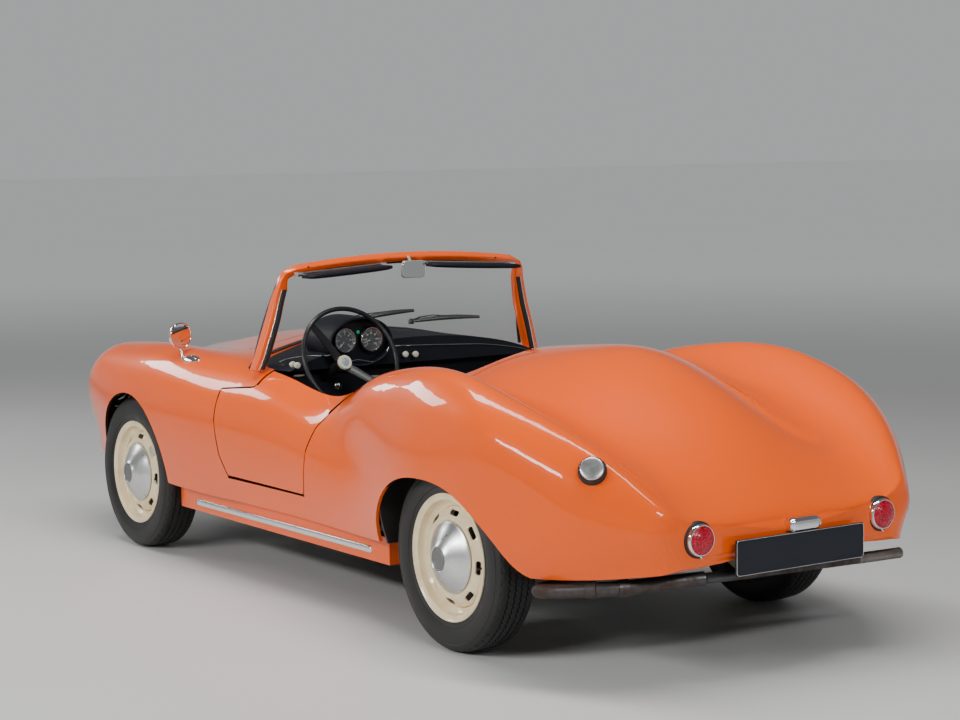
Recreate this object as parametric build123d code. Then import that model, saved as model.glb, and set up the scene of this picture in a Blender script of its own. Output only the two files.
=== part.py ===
from build123d import *
from math import cos, pi, radians, sin, sqrt
import os

import numpy as np

# An open two-seat roadster: separate front and rear bodies, a bonnet, two doors, a
# wrap-round windscreen, a ladder chassis, and four wheels, of which the front two steer.
# +X is forward, +Y is the car's left, +Z is up, and the origin is on the ground at
# mid-length. Millimetres throughout.

# ---------------------------------------------------------------- driving dimensions
wheelbase = 2350
front_overhang = 790
rear_overhang = 875
body_width = 1600
deck_height = 962

body_wall = 12
tail_depth = 40
tail_turn = 75
tail_lip = 30
tail_dome = 15
nose_depth = 70
nose_turn = 75
nose_lip = 60
nose_dome = 20
fit = 0.3
running_fit = 0.08

tyre_radius = 308
tyre_width = 155
rim_radius = 208
bead_radius = 190.5
rim_width = 128
rim_wall = 4
slot_count = 8
disc_face = 53
hub_cap_height = 52
rear_wheel_inset = 167
front_wheel_inset = 187
arch_gap = 20

door_gap = 6
door_inner = 588
door_rebate_at = 655
door_rebate = 8
door_swing_gap = 5.6
bonnet_gap = 6
door_hinge_ahead = 42

floor_thick = 12
rail_to_wheel = 283
chassis_height = 200
rail_width = 50
rail_height = 80
kick_height = 402
rail_front_height = 375
front_bulkhead_at = 1650
rear_bulkhead_at = 360
bulkhead_thick = 12
bonnet_rear_gap = 8
bonnet_lip = 4
steering_lean = 22
steering_rim_radius = 204
steering_door_gap = 12
steering_tube = 9
kingpin_in = 113
engine_to_rail = 90
exhaust_to_rail = 95
exhaust_radius = 22.5
shaft_radius = 26
shaft_gap = 8
KINGPIN_PIN = 9
SPINDLE_RADIUS = 17
TOW_EYE_RADIUS = 14
TOW_EYE_THICK = 16
TOW_EYE_DROP = 56
TOW_EYE_PLATE = 28
hub_bore = SPINDLE_RADIUS + running_fit

# The lines plan as it was drawn, measured from the rear axle line and from the ground:
# station, centre height, then (half-width, height) of each body line.
DRAWN_WHEELBASE = 2350
DRAWN_REAR = 875
DRAWN_FRONT = 790
DRAWN_WIDTH = 1600
DRAWN_DECK = 962
LINES = [
    # x     centre valley      crown       shoulder    waist       lower       edge
    (-820, 536, (431, 544), (505, 566), (535, 520), (540, 460), (515, 400), (500, 352)),
    (-700, 646, (434, 616), (562, 668), (621, 610), (646, 501), (628, 400), (600, 335)),
    (-500, 799, (459, 681), (613, 779), (724, 722), (749, 539), (738, 400), (705, 319)),
    (-300, 899, (481, 737), (653, 852), (766, 793), (795, 575), (790, 420), (745, 313)),
    (-100, 949, (512, 792), (669, 902), (766, 810), (800, 595), (795, 430), (750, 310)),
    (100, 946, (531, 835), (655, 913), (754, 807), (790, 605), (785, 430), (745, 310)),
    (350, 924, (532, 844), (626, 887), (718, 787), (745, 605), (745, 420), (715, 305)),
    (550, 906, (512, 819), (612, 844), (694, 765), (705, 605), (715, 420), (695, 300)),
    (800, 900, (500, 800), (590, 755), (645, 710), (690, 610), (700, 420), (680, 300)),
    (1200, 895, (470, 835), (600, 775), (655, 735), (700, 630), (700, 420), (680, 300)),
    (1500, 905, (450, 840), (600, 800), (660, 750), (710, 640), (705, 420), (685, 300)),
    (1900, 886, (430, 828), (571, 821), (665, 768), (720, 650), (715, 430), (695, 300)),
    (2300, 849, (400, 800), (536, 832), (658, 769), (715, 650), (710, 450), (690, 320)),
    (2650, 792, (371, 762), (518, 812), (644, 745), (690, 629), (674, 450), (655, 340)),
    (2900, 739, (342, 691), (489, 762), (613, 687), (629, 562), (600, 440), (585, 355)),
    (3050, 658, (311, 610), (450, 670), (527, 601), (554, 517), (527, 430), (500, 365)),
]
LOFT_STATIONS = [
    -820, -760, -700, -600, -500, -400, -300, -200, -100, 0, 100, 225, 350, 450, 550, 675,
    800, 1000, 1200, 1350, 1500, 1700, 1900, 2100, 2300, 2475, 2650, 2775, 2900, 2975, 3050,
]
SECTION_STEPS = 14
CLOSING_STEPS = 6

rear_axle_x = -(wheelbase + front_overhang - rear_overhang) / 2
front_axle_x = rear_axle_x + wheelbase
rear_wheel_y = body_width / 2 - rear_wheel_inset
front_wheel_y = body_width / 2 - front_wheel_inset
axle_height = tyre_radius
rail_spread = front_wheel_y - rail_to_wheel
rail_inner = rail_spread - rail_width / 2
rail_outer = rail_spread + rail_width / 2


# ---------------------------------------------------------------- from the plan to the car
def along(x):
    """The place along the car of a point drawn x ahead of the rear axle."""
    if x < 0:
        return rear_axle_x + x * rear_overhang / DRAWN_REAR
    if x < DRAWN_WHEELBASE:
        return rear_axle_x + x * wheelbase / DRAWN_WHEELBASE
    return front_axle_x + (x - DRAWN_WHEELBASE) * front_overhang / DRAWN_FRONT


def across(y):
    return y * body_width / DRAWN_WIDTH


def up(z):
    return z * deck_height / DRAWN_DECK


def spot(x, y, z):
    return Vector(along(x), across(y), up(z))


# ---------------------------------------------------------------- plain shapes
def block(x, y, z):
    """A box from three (low, high) pairs."""
    centre = [(low + high) / 2 for low, high in (x, y, z)]
    return Pos(*centre) * Box(x[1] - x[0], y[1] - y[0], z[1] - z[0])


def drawn_block(x, y, z):
    """A box from three (low, high) pairs given on the lines plan."""
    lows = spot(x[0], y[0], z[0])
    highs = spot(x[1], y[1], z[1])
    return block((lows.X, highs.X), (lows.Y, highs.Y), (lows.Z, highs.Z))


def rod(start, end, radius):
    """A round bar between two points."""
    run = Vector(*end) - Vector(*start)
    return Solid.make_cylinder(radius, run.length, Plane(origin=Vector(*start), z_dir=run))


def bar(start, end, width, depth):
    """A square bar between two points."""
    run = Vector(*end) - Vector(*start)
    plane = Plane(origin=Vector(*start), x_dir=(0, 1, 0), z_dir=run)
    return extrude(plane * Rectangle(width, depth), amount=run.length)


def prism(face, direction):
    return Solid.extrude(face, Vector(*direction))


def mirrored(shape):
    return mirror(shape, about=Plane.XZ)


def one(shape):
    """The single solid of a shape, or the shape itself if there are several."""
    solids = shape.solids()
    return solids[0] if len(solids) == 1 else Compound(children=solids)


# ---------------------------------------------------------------- body sections
def cubic(knots, values, level_start=False):
    """A natural cubic spline through the values, level at the first knot if asked."""
    n = len(knots)
    step = np.diff(knots)
    rise = np.diff(values) / step
    a = np.zeros((n, n))
    b = np.zeros(n)
    a[0, 0] = 1
    a[-1, -1] = 1
    if level_start:
        a[0, :2] = (2 * step[0], step[0])
        b[0] = 6 * rise[0]
    for i in range(1, n - 1):
        a[i, i - 1 : i + 2] = (step[i - 1], 2 * (step[i - 1] + step[i]), step[i])
        b[i] = 6 * (rise[i] - rise[i - 1])
    bend = np.linalg.solve(a, b)

    def value(t):
        i = int(min(max(np.searchsorted(knots, t) - 1, 0), n - 2))
        h = step[i]
        left = knots[i + 1] - t
        right = t - knots[i]
        straight = (values[i] * left + values[i + 1] * right) / h
        curved = bend[i] * (left**3 / h - h * left) + bend[i + 1] * (right**3 / h - h * right)
        return straight + curved / 6

    return value


STATIONS = [row[0] for row in LINES]
CENTRE = cubic(STATIONS, [row[1] for row in LINES])
SIDE_LINES = [
    (
        cubic(STATIONS, [row[i][0] for row in LINES]),
        cubic(STATIONS, [row[i][1] for row in LINES]),
    )
    for i in range(2, 8)
]


def half_section(x):
    """Points (y, z) from the centre line down to the bottom edge, drawn at station x."""
    ys = [0] + [y_line(x) for y_line, z_line in SIDE_LINES]
    zs = [CENTRE(x)] + [z_line(x) for y_line, z_line in SIDE_LINES]
    chords = np.hypot(np.diff(ys), np.diff(zs)) ** 0.7
    knots = np.concatenate([[0], np.cumsum(chords)])
    y_at = cubic(knots, ys)
    z_at = cubic(knots, zs, level_start=True)
    return [(y_at(t), z_at(t)) for t in np.linspace(0, knots[-1], SECTION_STEPS + 1)]


def inset_section(points, inset):
    """The section moved in by inset, square to its own line."""
    p = np.array(points)
    t = np.gradient(p, axis=0)
    t[0] = (1, 0)
    t /= np.hypot(t[:, 0], t[:, 1])[:, None]
    q = p + inset * np.stack([t[:, 1], -t[:, 0]], axis=1)
    q[0, 0] = 0
    return [tuple(row) for row in q]


def closing(section, slope, x, way, depth, turn, lip, dome):
    """Sections that close the body beyond station x: a round that runs on from its slope,
    then a shallow dome."""
    start = np.array(section)
    corner = start + np.array(slope) * depth
    middle = (corner[:, 1].min() + corner[:, 1].max()) / 2
    half_height = corner[:, 1].max() - middle
    half_width = corner[:, 0].max()
    narrower = 1 - turn / half_width
    lower = 1 - lip / half_height

    def shrunk(share):
        return np.stack(
            [corner[:, 0] * narrower * share, middle + (corner[:, 1] - middle) * lower * share],
            axis=1,
        )

    rows = []
    for step in range(1, CLOSING_STEPS + 1):
        t = step / CLOSING_STEPS
        points = (1 - t) ** 2 * start + 2 * t * (1 - t) * corner + t**2 * shrunk(1)
        rows.append((x + way * depth * (2 * t - t**2), points))
    for share in (0.8, 0.55, 0.3):
        rows.append((x + way * (depth + dome * (1 - share**2)), shrunk(share)))
    return rows


def whole_section(x, points):
    """The section's points on both sides, in the car's frame, from right to left."""
    half = [(across(y), up(z)) for y, z in points]
    return [Vector(along(x), y, z) for y, z in [(-y, z) for y, z in half[:0:-1]] + half]


def spline(spots):
    last = len(spots) - 1
    return Edge.make_spline(spots, parameters=[i / last for i in range(last + 1)])


def closed_wire(x, points):
    """A section closed by a straight line across its bottom."""
    spots = whole_section(x, points)
    return Wire([spline(spots), Edge.make_line(spots[-1], spots[0])])


def hollow_wire(x, points):
    """An inner section that runs on down below the body, so that the body is open there."""
    spots = whole_section(x, points)
    low = up(180)
    left = Vector(spots[-1].X, spots[-1].Y, low)
    right = Vector(spots[0].X, spots[0].Y, low)
    corners = [spots[-1], left, right, spots[0]]
    lines = [Edge.make_line(a, b) for a, b in zip(corners, corners[1:])]
    return Wire([spline(spots)] + lines)


def wall_wire(x):
    """The body's wall cut across at station x: the outer line, the inner line and two lips."""
    section = half_section(x)
    outside = whole_section(x, section)
    inside = whole_section(x, inset_section(section, body_wall))
    left_lip = Edge.make_line(outside[-1], inside[-1])
    right_lip = Edge.make_line(inside[0], outside[0])
    return Wire([spline(outside), left_lip, spline(inside[::-1]), right_lip])


def end_slope(x, way):
    """How fast the section changes on its way out through station x."""
    step = 10
    return (np.array(half_section(x)) - np.array(half_section(x - way * step))) / step


def cap_block(x, way, depth, turn, lip, dome):
    """The tail or the nose as a solid block beyond station x."""
    section = half_section(x)
    rows = [(x, section)] + closing(section, end_slope(x, way), x, way, depth, turn, lip, dome)
    return Solid.make_loft([closed_wire(*row) for row in rows], True)


def end_cap(x, way, depth, turn, lip, dome):
    """The wall that closes the body's tail or nose."""
    inner = inset_section(half_section(x), body_wall)
    inside = [(x - way * 20, inner), (x, inner)]
    inside += closing(inner, end_slope(x, way), x, way, depth - body_wall, turn, lip, dome)
    hollow = Solid.make_loft([hollow_wire(*row) for row in inside], True)
    return cap_block(x, way, depth, turn, lip, dome) - hollow


TAIL_END = (LOFT_STATIONS[0], -1, tail_depth, tail_turn, tail_lip, tail_dome)
NOSE_END = (LOFT_STATIONS[-1], 1, nose_depth, nose_turn, nose_lip, nose_dome)


def make_shell():
    wall = Solid.make_loft([wall_wire(x) for x in LOFT_STATIONS])
    return wall + end_cap(*TAIL_END) + end_cap(*NOSE_END)


def make_outer():
    """The body as a solid block between its first and last stations."""
    return Solid.make_loft([closed_wire(x, half_section(x)) for x in LOFT_STATIONS])


def make_inside():
    """The space inside the body's wall, with a small clearance for what fits in it."""
    rows = [(x, inset_section(half_section(x), body_wall + fit)) for x in LOFT_STATIONS]
    return Solid.make_loft([hollow_wire(*row) for row in rows])


# ---------------------------------------------------------------- cut lines of the body
def windscreen_x(y, z):
    """The glass's outer face, drawn: raked 45 degrees at the middle and wrapped at its sides."""
    drop = WINDSCREEN_TOP - z
    reach = 1337 + 0.99 * drop
    wrap = 50 + 1.18 * drop
    return reach - wrap * (1 - sqrt(1 - (y / 700) ** 2))


WINDSCREEN_TOP = 1216
DOOR_CUT_INNER = 560


def door_outline(y, shrink):
    """The door's cut seen from the side, at the drawn half-width y, moved in by shrink."""
    points = [
        (934, 388), (1504, 392), (1552, 470), (1578, 600), (1575, 722), (1345, 745),
        (1345, 1060), (745, 1060), (745, 752), (800, 700), (862, 640), (905, 550),
    ]
    radii = [22, 22, 60, 80, 14, 14, 20, 20, 12, 30, 60, 100]
    spots = [spot(x, y, z) for x, z in points]
    wire = Wire(FilletPolyline(*spots, radius=radii, close=True).edges())
    if shrink:
        wire = wire.offset_2d(-shrink)
    return Face(wire)


def door_hinge_place():
    """Where the left door's upright hinge line crosses the plan, inside the front fender."""
    return along(1578) + door_hinge_ahead, across(686)


def skin_y(x, z):
    """How far out the body's side lies at a drawn station and height."""
    points = [(across(y), up(height)) for y, height in half_section(x) if height < 740]
    return float(np.interp(up(z), [p[1] for p in points[::-1]], [p[0] for p in points[::-1]]))


def door_scoop():
    """A turned shape round the hinge line that hollows the door's front face to swing clear."""
    x, y = door_hinge_place()
    edge = [
        (1500, 385), (1527, 430), (1551, 470), (1565, 535), (1577, 600), (1577, 660), (1575, 722),
    ]
    profile = []
    for edge_x, edge_z in edge:
        ahead = x - along(edge_x)
        outward = skin_y(edge_x, edge_z) - y
        profile.append(((ahead**2 + outward**2) ** 0.5 + door_swing_gap, up(edge_z)))
    low, high = up(300), up(800)
    profile = [(0, low), (profile[0][0], low)] + profile + [(profile[-1][0], high), (0, high)]
    spots = [Vector(x + r, y, z) for r, z in profile]
    return revolve(Face(Wire.make_polygon(spots, close=True)), Axis((x, y, 0), (0, 0, 1)), 360)


def door_prism(shrink, inner):
    face = door_outline(inner, shrink)
    return prism(face, (0, across(300), 0))


def cockpit_outline(shrink, height):
    """The cockpit's opening in plan: square behind the seats, bowed under the windscreen."""
    rear = 385 + shrink
    side = 578 - shrink
    bow = [(windscreen_x(y, 860) - 35 - shrink, y) for y in (520, 420, 300, 150, 0)]
    front = [(1350 - shrink, side)] + bow
    half = [(rear, 400), (rear + 90, side)] + front
    left = [spot(x, y, 0) for x, y in half]
    right = [Vector(p.X, -p.Y, p.Z) for p in left[::-1]]
    front_left = left[2:]
    front_right = right[: len(front_left)]
    curve = Edge.make_spline(front_left + front_right[1:])
    straight = [right[-3], right[-2], right[-1], left[0], left[1], left[2]]
    lines = [Edge.make_line(a, b) for a, b in zip(straight, straight[1:])]
    return Pos(0, 0, up(height)) * Face(Wire([curve] + lines))


def bonnet_outline(shrink):
    points = [(1835, 450), (2300, 418), (2700, 372), (2935, 318), (2935, -318)]
    points += [(2700, -372), (2300, -418), (1835, -450)]
    spots = [Vector(along(x), across(y), up(600)) for x, y in points]
    radii = [40, 400, 300, 110, 110, 300, 400, 40]
    wire = Wire(FilletPolyline(*spots, radius=radii, close=True).edges())
    if shrink:
        wire = wire.offset_2d(-shrink)
    return Face(wire)


def bonnet_prism(shrink):
    return prism(bonnet_outline(shrink), (0, 0, up(500)))


def front_arches():
    """The openings round the front wheels, open below."""
    radius = tyre_radius + arch_gap
    low = (across(385), across(900))
    round_part = rod((front_axle_x, low[0], axle_height), (front_axle_x, low[1], axle_height), radius)
    below = block((front_axle_x - radius, front_axle_x + radius), low, (0, axle_height))
    left = round_part + below
    return left + mirrored(left)


def rear_arches():
    """The openings beside the rear wheels, whose tops the fenders cover. Behind the wheel
    the edge runs on smoothly into the fender's bottom edge."""
    share = tyre_radius / 308
    points = [
        (402, 315), (322, 470), (201, 541), (20, 572), (-176, 547), (-299, 483), (-385, 405),
        (-440, 338), (-520, 316),
    ]
    plane_y = across(685)
    edge = [Vector(rear_axle_x + x * share, plane_y, z * share) for x, z in points]
    low = 200 * share
    below = [Vector(edge[-1].X, plane_y, low), Vector(edge[0].X, plane_y, low)]
    closed = Polyline(edge[-1], *below, edge[0])
    face = Face(Wire([Edge.make_spline(edge)] + closed.edges()))
    left = prism(face, (0, across(200), 0))
    return left + mirrored(left)


# ---------------------------------------------------------------- lamps and mouth of the nose
HEADLAMP = (3000, 418, 566)
HEADLAMP_RADIUS = 88
INDICATOR = (3040, 330, 452)
INDICATOR_RADIUS = 26
TAIL_LAMP = (-845, 371, 453)
TAIL_LAMP_RADIUS = 51
MOUTH = (3060, 486)
MOUTH_HALF = (225, 48)
nose_x = LOFT_STATIONS[-1] + nose_depth + nose_dome


def lamp_barrel(centre, radius, back, front):
    """A round barrel lying along the car at a drawn centre."""
    c = spot(*centre)
    return rod((c.X + back, c.Y, c.Z), (c.X + front, c.Y, c.Z), radius)


def mouth_prism(grow):
    middle = spot(MOUTH[0] - 80, 0, MOUTH[1])
    plane = Plane(origin=middle, x_dir=(0, 1, 0), z_dir=(1, 0, 0))
    face = plane * Ellipse(across(MOUTH_HALF[0]) + grow, up(MOUTH_HALF[1]) + grow)
    return extrude(face, amount=300)


def make_headlamps():
    barrel = lamp_barrel(HEADLAMP, HEADLAMP_RADIUS - fit, -60, 105)
    lens = lamp_barrel(HEADLAMP, HEADLAMP_RADIUS - 10, 104, 119)
    lens = fillet(lens.edges().sort_by(Axis.X)[-1], 12)
    left = one(barrel + lens)
    return [left, one(mirrored(left))]


def make_indicators():
    left = lamp_barrel(INDICATOR, INDICATOR_RADIUS - fit, -10, 112)
    return [left, one(mirrored(left))]


def make_grille():
    """An oval ring with level bars, all of them following the nose."""
    nose = cap_block(*NOSE_END)
    skin = (mouth_prism(-fit) & (Pos(3, 0, 0) * nose)) - (Pos(-body_wall, 0, 0) * nose)
    reach = (along(LOFT_STATIONS[-1]) + 10, along(nose_x) + 50)
    skin = skin & block(reach, (-600, 600), (0, up(900)))
    whole = skin - mouth_prism(-10)
    for step in (-2, -1, 0, 1, 2):
        z = up(MOUTH[1]) + step * 16
        whole = whole + (skin & block((0, along(nose_x) + 50), (-600, 600), (z - 2.5, z + 2.5)))
    return one(whole)


def make_tail_lamps():
    left = lamp_barrel(TAIL_LAMP, TAIL_LAMP_RADIUS - fit, -52, 5)
    return Compound(children=[left, one(mirrored(left))])


# ---------------------------------------------------------------- windscreen
def screen_sheet(outside, inside):
    """A curved sheet between two depths behind the glass's outer face."""
    turns = [i * 78 / 8 for i in range(-8, 9)]
    wires = []
    for z in (740, 830, 920, 1010, 1100, 1190, 1240):
        rows = []
        for depth in (outside, inside):
            row = []
            for turn in turns:
                y = 700 * sin(radians(turn))
                slope = (windscreen_x(y + 1, z) - windscreen_x(y - 1, z)) / 2
                size = sqrt(1 + slope**2)
                behind = depth / size * 1.3
                row.append(spot(windscreen_x(y, z) - behind, y + depth * slope / size, z))
            rows.append(row)
        front, back = spline(rows[0]), spline(rows[1][::-1])
        ends = [Edge.make_line(rows[0][-1], rows[1][-1]), Edge.make_line(rows[1][0], rows[0][0])]
        wires.append(Wire([front, ends[0], back, ends[1]]))
    return Solid.make_loft(wires)


def screen_outline(shrink):
    """The windscreen seen from the front: splayed pillars under a header in one long bow."""
    low = spot(1000, 668, 700)
    corner = spot(1000, 562, 1179)
    left_low, left_corner = (Vector(p.X, -p.Y, p.Z) for p in (low, corner))
    header = ThreePointArc(corner, spot(1000, 0, WINDSCREEN_TOP + 4), left_corner)
    lines = [Line(left_corner, left_low), Line(left_low, low), Line(low, corner)]
    face = Face(Wire([header] + lines))
    face = face.fillet_2d(70, face.vertices().group_by(Axis.Z)[-1])
    if shrink:
        face = Face(face.outer_wire().offset_2d(-shrink))
    return prism(face, (1000, 0, 0))


def make_windscreen(outer):
    frame_band = screen_outline(0) - screen_outline(34)
    glass = (screen_sheet(10, 15) & screen_outline(22)) - outer
    groove = screen_sheet(9.7, 15.3) & screen_outline(21.7)
    frame = (screen_sheet(0, 30) & frame_band) - outer - groove
    feet = door_prism(-door_gap, DOOR_CUT_INNER) & drawn_block((1300, 1600), (540, 900), (700, 795))
    feet = feet + mirrored(feet)
    return one(frame - feet), one(glass - feet)


# ---------------------------------------------------------------- body panels
def make_door(outer):
    """The left door: its inner half is let in all round and its front is scooped to swing clear."""
    skin = outer & door_prism(door_gap, door_rebate_at)
    inboard = drawn_block((0, 2350), (0, door_rebate_at), (0, 1300))
    inner = outer & door_prism(door_gap + door_rebate, door_inner) & (Pos(0, 1, 0) * inboard)
    return (skin + inner) - door_scoop() + make_door_straps()


def make_panels(outer, inside):
    """Front body, rear body, bonnet, doors and sills, cut from one wall along the real gaps."""
    shell = make_shell()
    hole = door_prism(0, DOOR_CUT_INNER)
    cockpit = prism(cockpit_outline(0, 640), (0, 0, up(400)))
    below_door = drawn_block((934, 1504), (-800, 800), (200, 392))
    body = shell - hole - mirrored(hole) - cockpit - below_door

    ahead = drawn_block((1200, 3300), (-1000, 1000), (0, 1300))
    rear_strip = drawn_block((1700, 1835), (-800, 800), (500, 1100))
    edge_x = along(1835)
    heights = (up(500), up(1100))
    rear_strip = rear_strip + block((edge_x - 1, edge_x + bonnet_rear_gap), (-700, 700), heights)
    under_lip = block((edge_x - 1, edge_x + 30), (-700, 700), heights)
    under_lip = under_lip & (Pos(0, 0, -bonnet_lip) * outer)
    bonnet = (body & bonnet_prism(bonnet_gap)) - rear_strip - under_lip
    bonnet = bonnet + make_bonnet_arms(outer)
    front = (body & ahead) - bonnet_prism(0) - front_arches() - mouth_prism(0)
    for centre, radius in ((HEADLAMP, HEADLAMP_RADIUS), (INDICATOR, INDICATOR_RADIUS)):
        barrel = lamp_barrel(centre, radius, -200, 300)
        front = front - barrel - mirrored(barrel)
    pillar = make_hinge_pillar() & outer
    front = front + pillar + mirrored(pillar) + make_bonnet_brackets(outer)
    rear = (body - ahead) - rear_arches()
    barrel = lamp_barrel(TAIL_LAMP, TAIL_LAMP_RADIUS, -200, 5)
    rear = rear - barrel - mirrored(barrel)

    door = make_door(outer)
    strip = outer & drawn_block((934, 1504), (592, 800), (302, 386))
    sill = strip + drawn_block((444, 2010), (592, 645), (208, 302))
    sill = sill + drawn_block((934, 1504), (592, 640), (290, 386))
    return {
        "front_body": front,
        "rear_body": rear,
        "bonnet": bonnet,
        "left_door": door,
        "right_door": mirrored(door),
        "sills": Compound(children=[one(sill), one(mirrored(sill))]),
    }


BONNET_HINGE = (1700, 330, 815)
BONNET_PIN = 5
DOOR_PIN = 6
DOOR_HINGE_HEIGHTS = (545, 655)


def make_bonnet_arms(outer):
    """Goose-neck arms that dip below the scuttle's edge between the bonnet and its pins."""
    pin = spot(*BONNET_HINGE)
    half = 8

    def place(ahead, above):
        return (pin.X + ahead, pin.Y, pin.Z + above)

    low = place(105, -125)
    knee = place(172, -60)
    top = place(172, 90)
    neck = bar(place(0, 0), low, 2 * half, 2 * half) + bar(low, knee, 2 * half, 2 * half)
    neck = neck + bar(knee, top, 2 * half, 2 * half)
    for x, y, z in (low, knee):
        neck = neck + rod((x, y - half, z), (x, y + half, z), half)
    eye = rod((pin.X, pin.Y - half, pin.Z), (pin.X, pin.Y + half, pin.Z), 11)
    bore = rod((pin.X, pin.Y - 30, pin.Z), (pin.X, pin.Y + 30, pin.Z), BONNET_PIN + running_fit)
    left = ((neck + eye) & outer) - bore
    return left + mirrored(left)


def make_bonnet_brackets(outer):
    """Ears under the scuttle on both sides of each bonnet arm, with the pin between them."""
    pin = spot(*BONNET_HINGE)
    left = rod((pin.X, pin.Y - 16, pin.Z), (pin.X, pin.Y + 16, pin.Z), BONNET_PIN)
    for side in (-1, 1):
        near, far = pin.Y + side * 8.3, pin.Y + side * 16
        low_y, high_y = min(near, far), max(near, far)
        ear = block((pin.X - 12, pin.X + 12), (low_y, high_y), (pin.Z - 11, pin.Z + 70))
        left = left + (ear & outer)
    return left + mirrored(left)


def make_door_straps():
    """The left door's two hinge straps: inboard from the pin, then back into the door."""
    x, y = door_hinge_place()
    straps = None
    for height in DOOR_HINGE_HEIGHTS:
        z = up(height)
        eye = rod((x, y, z - 8), (x, y, z + 8), 10)
        inboard = block((x - 7, x + 7), (y - 66, y), (z - 8, z + 8))
        back = block((x - 80, x + 7), (y - 66, y - 54), (z - 8, z + 8))
        strap = (eye + inboard + back) - rod((x, y, z - 20), (x, y, z + 20), DOOR_PIN + running_fit)
        straps = strap if straps is None else straps + strap
    return straps


def make_hinge_pillar():
    """The left hinge pillar inside the front fender, with ears and pins for the door."""
    x, y = door_hinge_place()
    pillar = block((x + 18, along(front_bulkhead_at)), (y - 70, y + 60), (up(330), up(715)))
    for height in DOOR_HINGE_HEIGHTS:
        z = up(height)
        pillar = pillar + rod((x, y, z - 20), (x, y, z + 20), DOOR_PIN)
        for low, high in ((-20, -8.3), (8.3, 20)):
            ear = block((x, x + 20), (y - 10, y + 10), (z + low, z + high))
            pillar = pillar + ear + rod((x, y, z + low), (x, y, z + high), 10)
    return pillar


# ---------------------------------------------------------------- chassis and floor
def make_rails():
    """Two box rails that rise over the rear axle."""
    low = up(chassis_height)
    side = [
        (2900, up(rail_front_height)), (1800, up(rail_front_height)), (1690, low), (350, low),
        (190, kick_height), (-300, kick_height), (-420, up(390)), (-800, up(390)),
    ]
    top = [(x, z + rail_height) for x, z in side[::-1]]
    spots = [Vector(along(x), rail_inner, z) for x, z in side + top]
    rail = Solid.extrude(Face(Wire.make_polygon(spots, close=True)), Vector(0, rail_width, 0))
    return Compound(children=[rail, mirrored(rail)])


def shaft_rod(radius):
    """The line of the propeller shaft from the rear axle's nose to the gearbox."""
    return rod((rear_axle_x + 165, 0, axle_height), (along(1650), 0, up(340)), radius)


def make_cross_members():
    """The members between the rails, notched for the propeller shaft where it comes low,
    the outriggers beside the rails, and the towing eye."""
    low = up(chassis_height)
    solids = []
    front_height = up(rail_front_height)
    for x, z in ((2860, front_height), (1480, low), (500, low), (-760, up(390))):
        reach = (along(x) - 30, along(x) + 30)
        member = block(reach, (-rail_inner, rail_inner), (z, z + rail_height))
        solids.append(one(member - shaft_rod(shaft_radius + shaft_gap)))
    solids[0] = one(solids[0] + make_tow_eye())
    for x in (720, 1100, 1560):
        reach = (rail_outer, across(592))
        left = block((along(x) - 25, along(x) + 25), reach, (low, low + rail_height))
        solids += [left, mirrored(left)]
    return Compound(children=solids)


def tow_eye_place():
    """The middle of the towing eye under the front cross member."""
    return (along(2860), 0, up(rail_front_height) - TOW_EYE_DROP)


def make_tow_eye():
    """A thick plate with a rounded eye, standing below the front cross member."""
    x, _, z = tow_eye_place()
    half = TOW_EYE_THICK / 2
    plate = rod((x, -half, z), (x, half, z), TOW_EYE_PLATE)
    reach = (x - TOW_EYE_PLATE, x + TOW_EYE_PLATE)
    plate = plate + block(reach, (-half, half), (z, up(rail_front_height) + 1))
    return plate - rod((x, -half - 1, z), (x, half + 1, z), TOW_EYE_RADIUS)


def make_floor():
    """The cockpit floor with its tunnel, and the boot floor over the rear axle."""
    z = up(chassis_height) + rail_height
    tunnel_half = 95
    tunnel_top = z + 120
    front = along(front_bulkhead_at)
    back = along(rear_bulkhead_at) + bulkhead_thick
    pan = block((back, front), (across(-592), across(592)), (z, z + floor_thick))
    hump = block((back, front), (-tunnel_half, tunnel_half), (z, tunnel_top))
    bore = block((back - 1, front + 1), (-tunnel_half + 10, tunnel_half - 10), (z - 1, tunnel_top - 10))
    return (pan + hump) - bore


def make_boot_floor(inside):
    z = kick_height + rail_height
    reach = (along(-790), along(rear_bulkhead_at))
    plate = block(reach, (across(-505), across(505)), (z, z + floor_thick))
    return plate & inside


def make_bulkheads(inside, rails, members):
    """The front bulkhead ahead of the pedals and the rear bulkhead behind the seats."""
    low = up(chassis_height) + rail_height
    plates = []
    for place in (front_bulkhead_at, rear_bulkhead_at):
        x = along(place)
        plate = block((x, x + bulkhead_thick), (-900, 900), (low, up(1000))) & inside
        doorway = block((x - 50, x + 50), (-85, 85), (0, low + 110))
        sills = drawn_block((place - 50, place + 50), (590, 800), (0, 302))
        plates.append(plate - doorway - rails - members - sills - mirrored(sills))
    plates[0] = plates[0] - column_rod(STEERING_COLUMN_RADIUS + 2)
    return Compound(children=[one(plate) for plate in plates])


def make_engine():
    """The engine and its gearbox as one block, set between the chassis rails."""
    half = rail_inner - engine_to_rail
    block_part = block((along(1890), along(2290)), (-half, half), (up(330), up(740)))
    sump = block((along(1900), along(2280)), (-half * 0.65, half * 0.65), (up(262), up(331)))
    low = up(rail_front_height)
    feet = block((along(2050), along(2130)), (-rail_inner, rail_inner), (low, low + 60))
    gearbox = block((along(1640), along(1891)), (-75, 75), (up(300), up(370)))
    return block_part + sump + feet + gearbox


# ---------------------------------------------------------------- front axle and steering
KINGPIN_TOP = 125
KINGPIN_LOW = -115
kingpin_y = front_wheel_y - kingpin_in
KINGPIN_RADIUS = 16
FORK_HALF = 22
BEAM_HALF = 30
LUG_THICK = 25
DRUM_RADIUS = 112
AXLE_TUBE_RADIUS = 36


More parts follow.
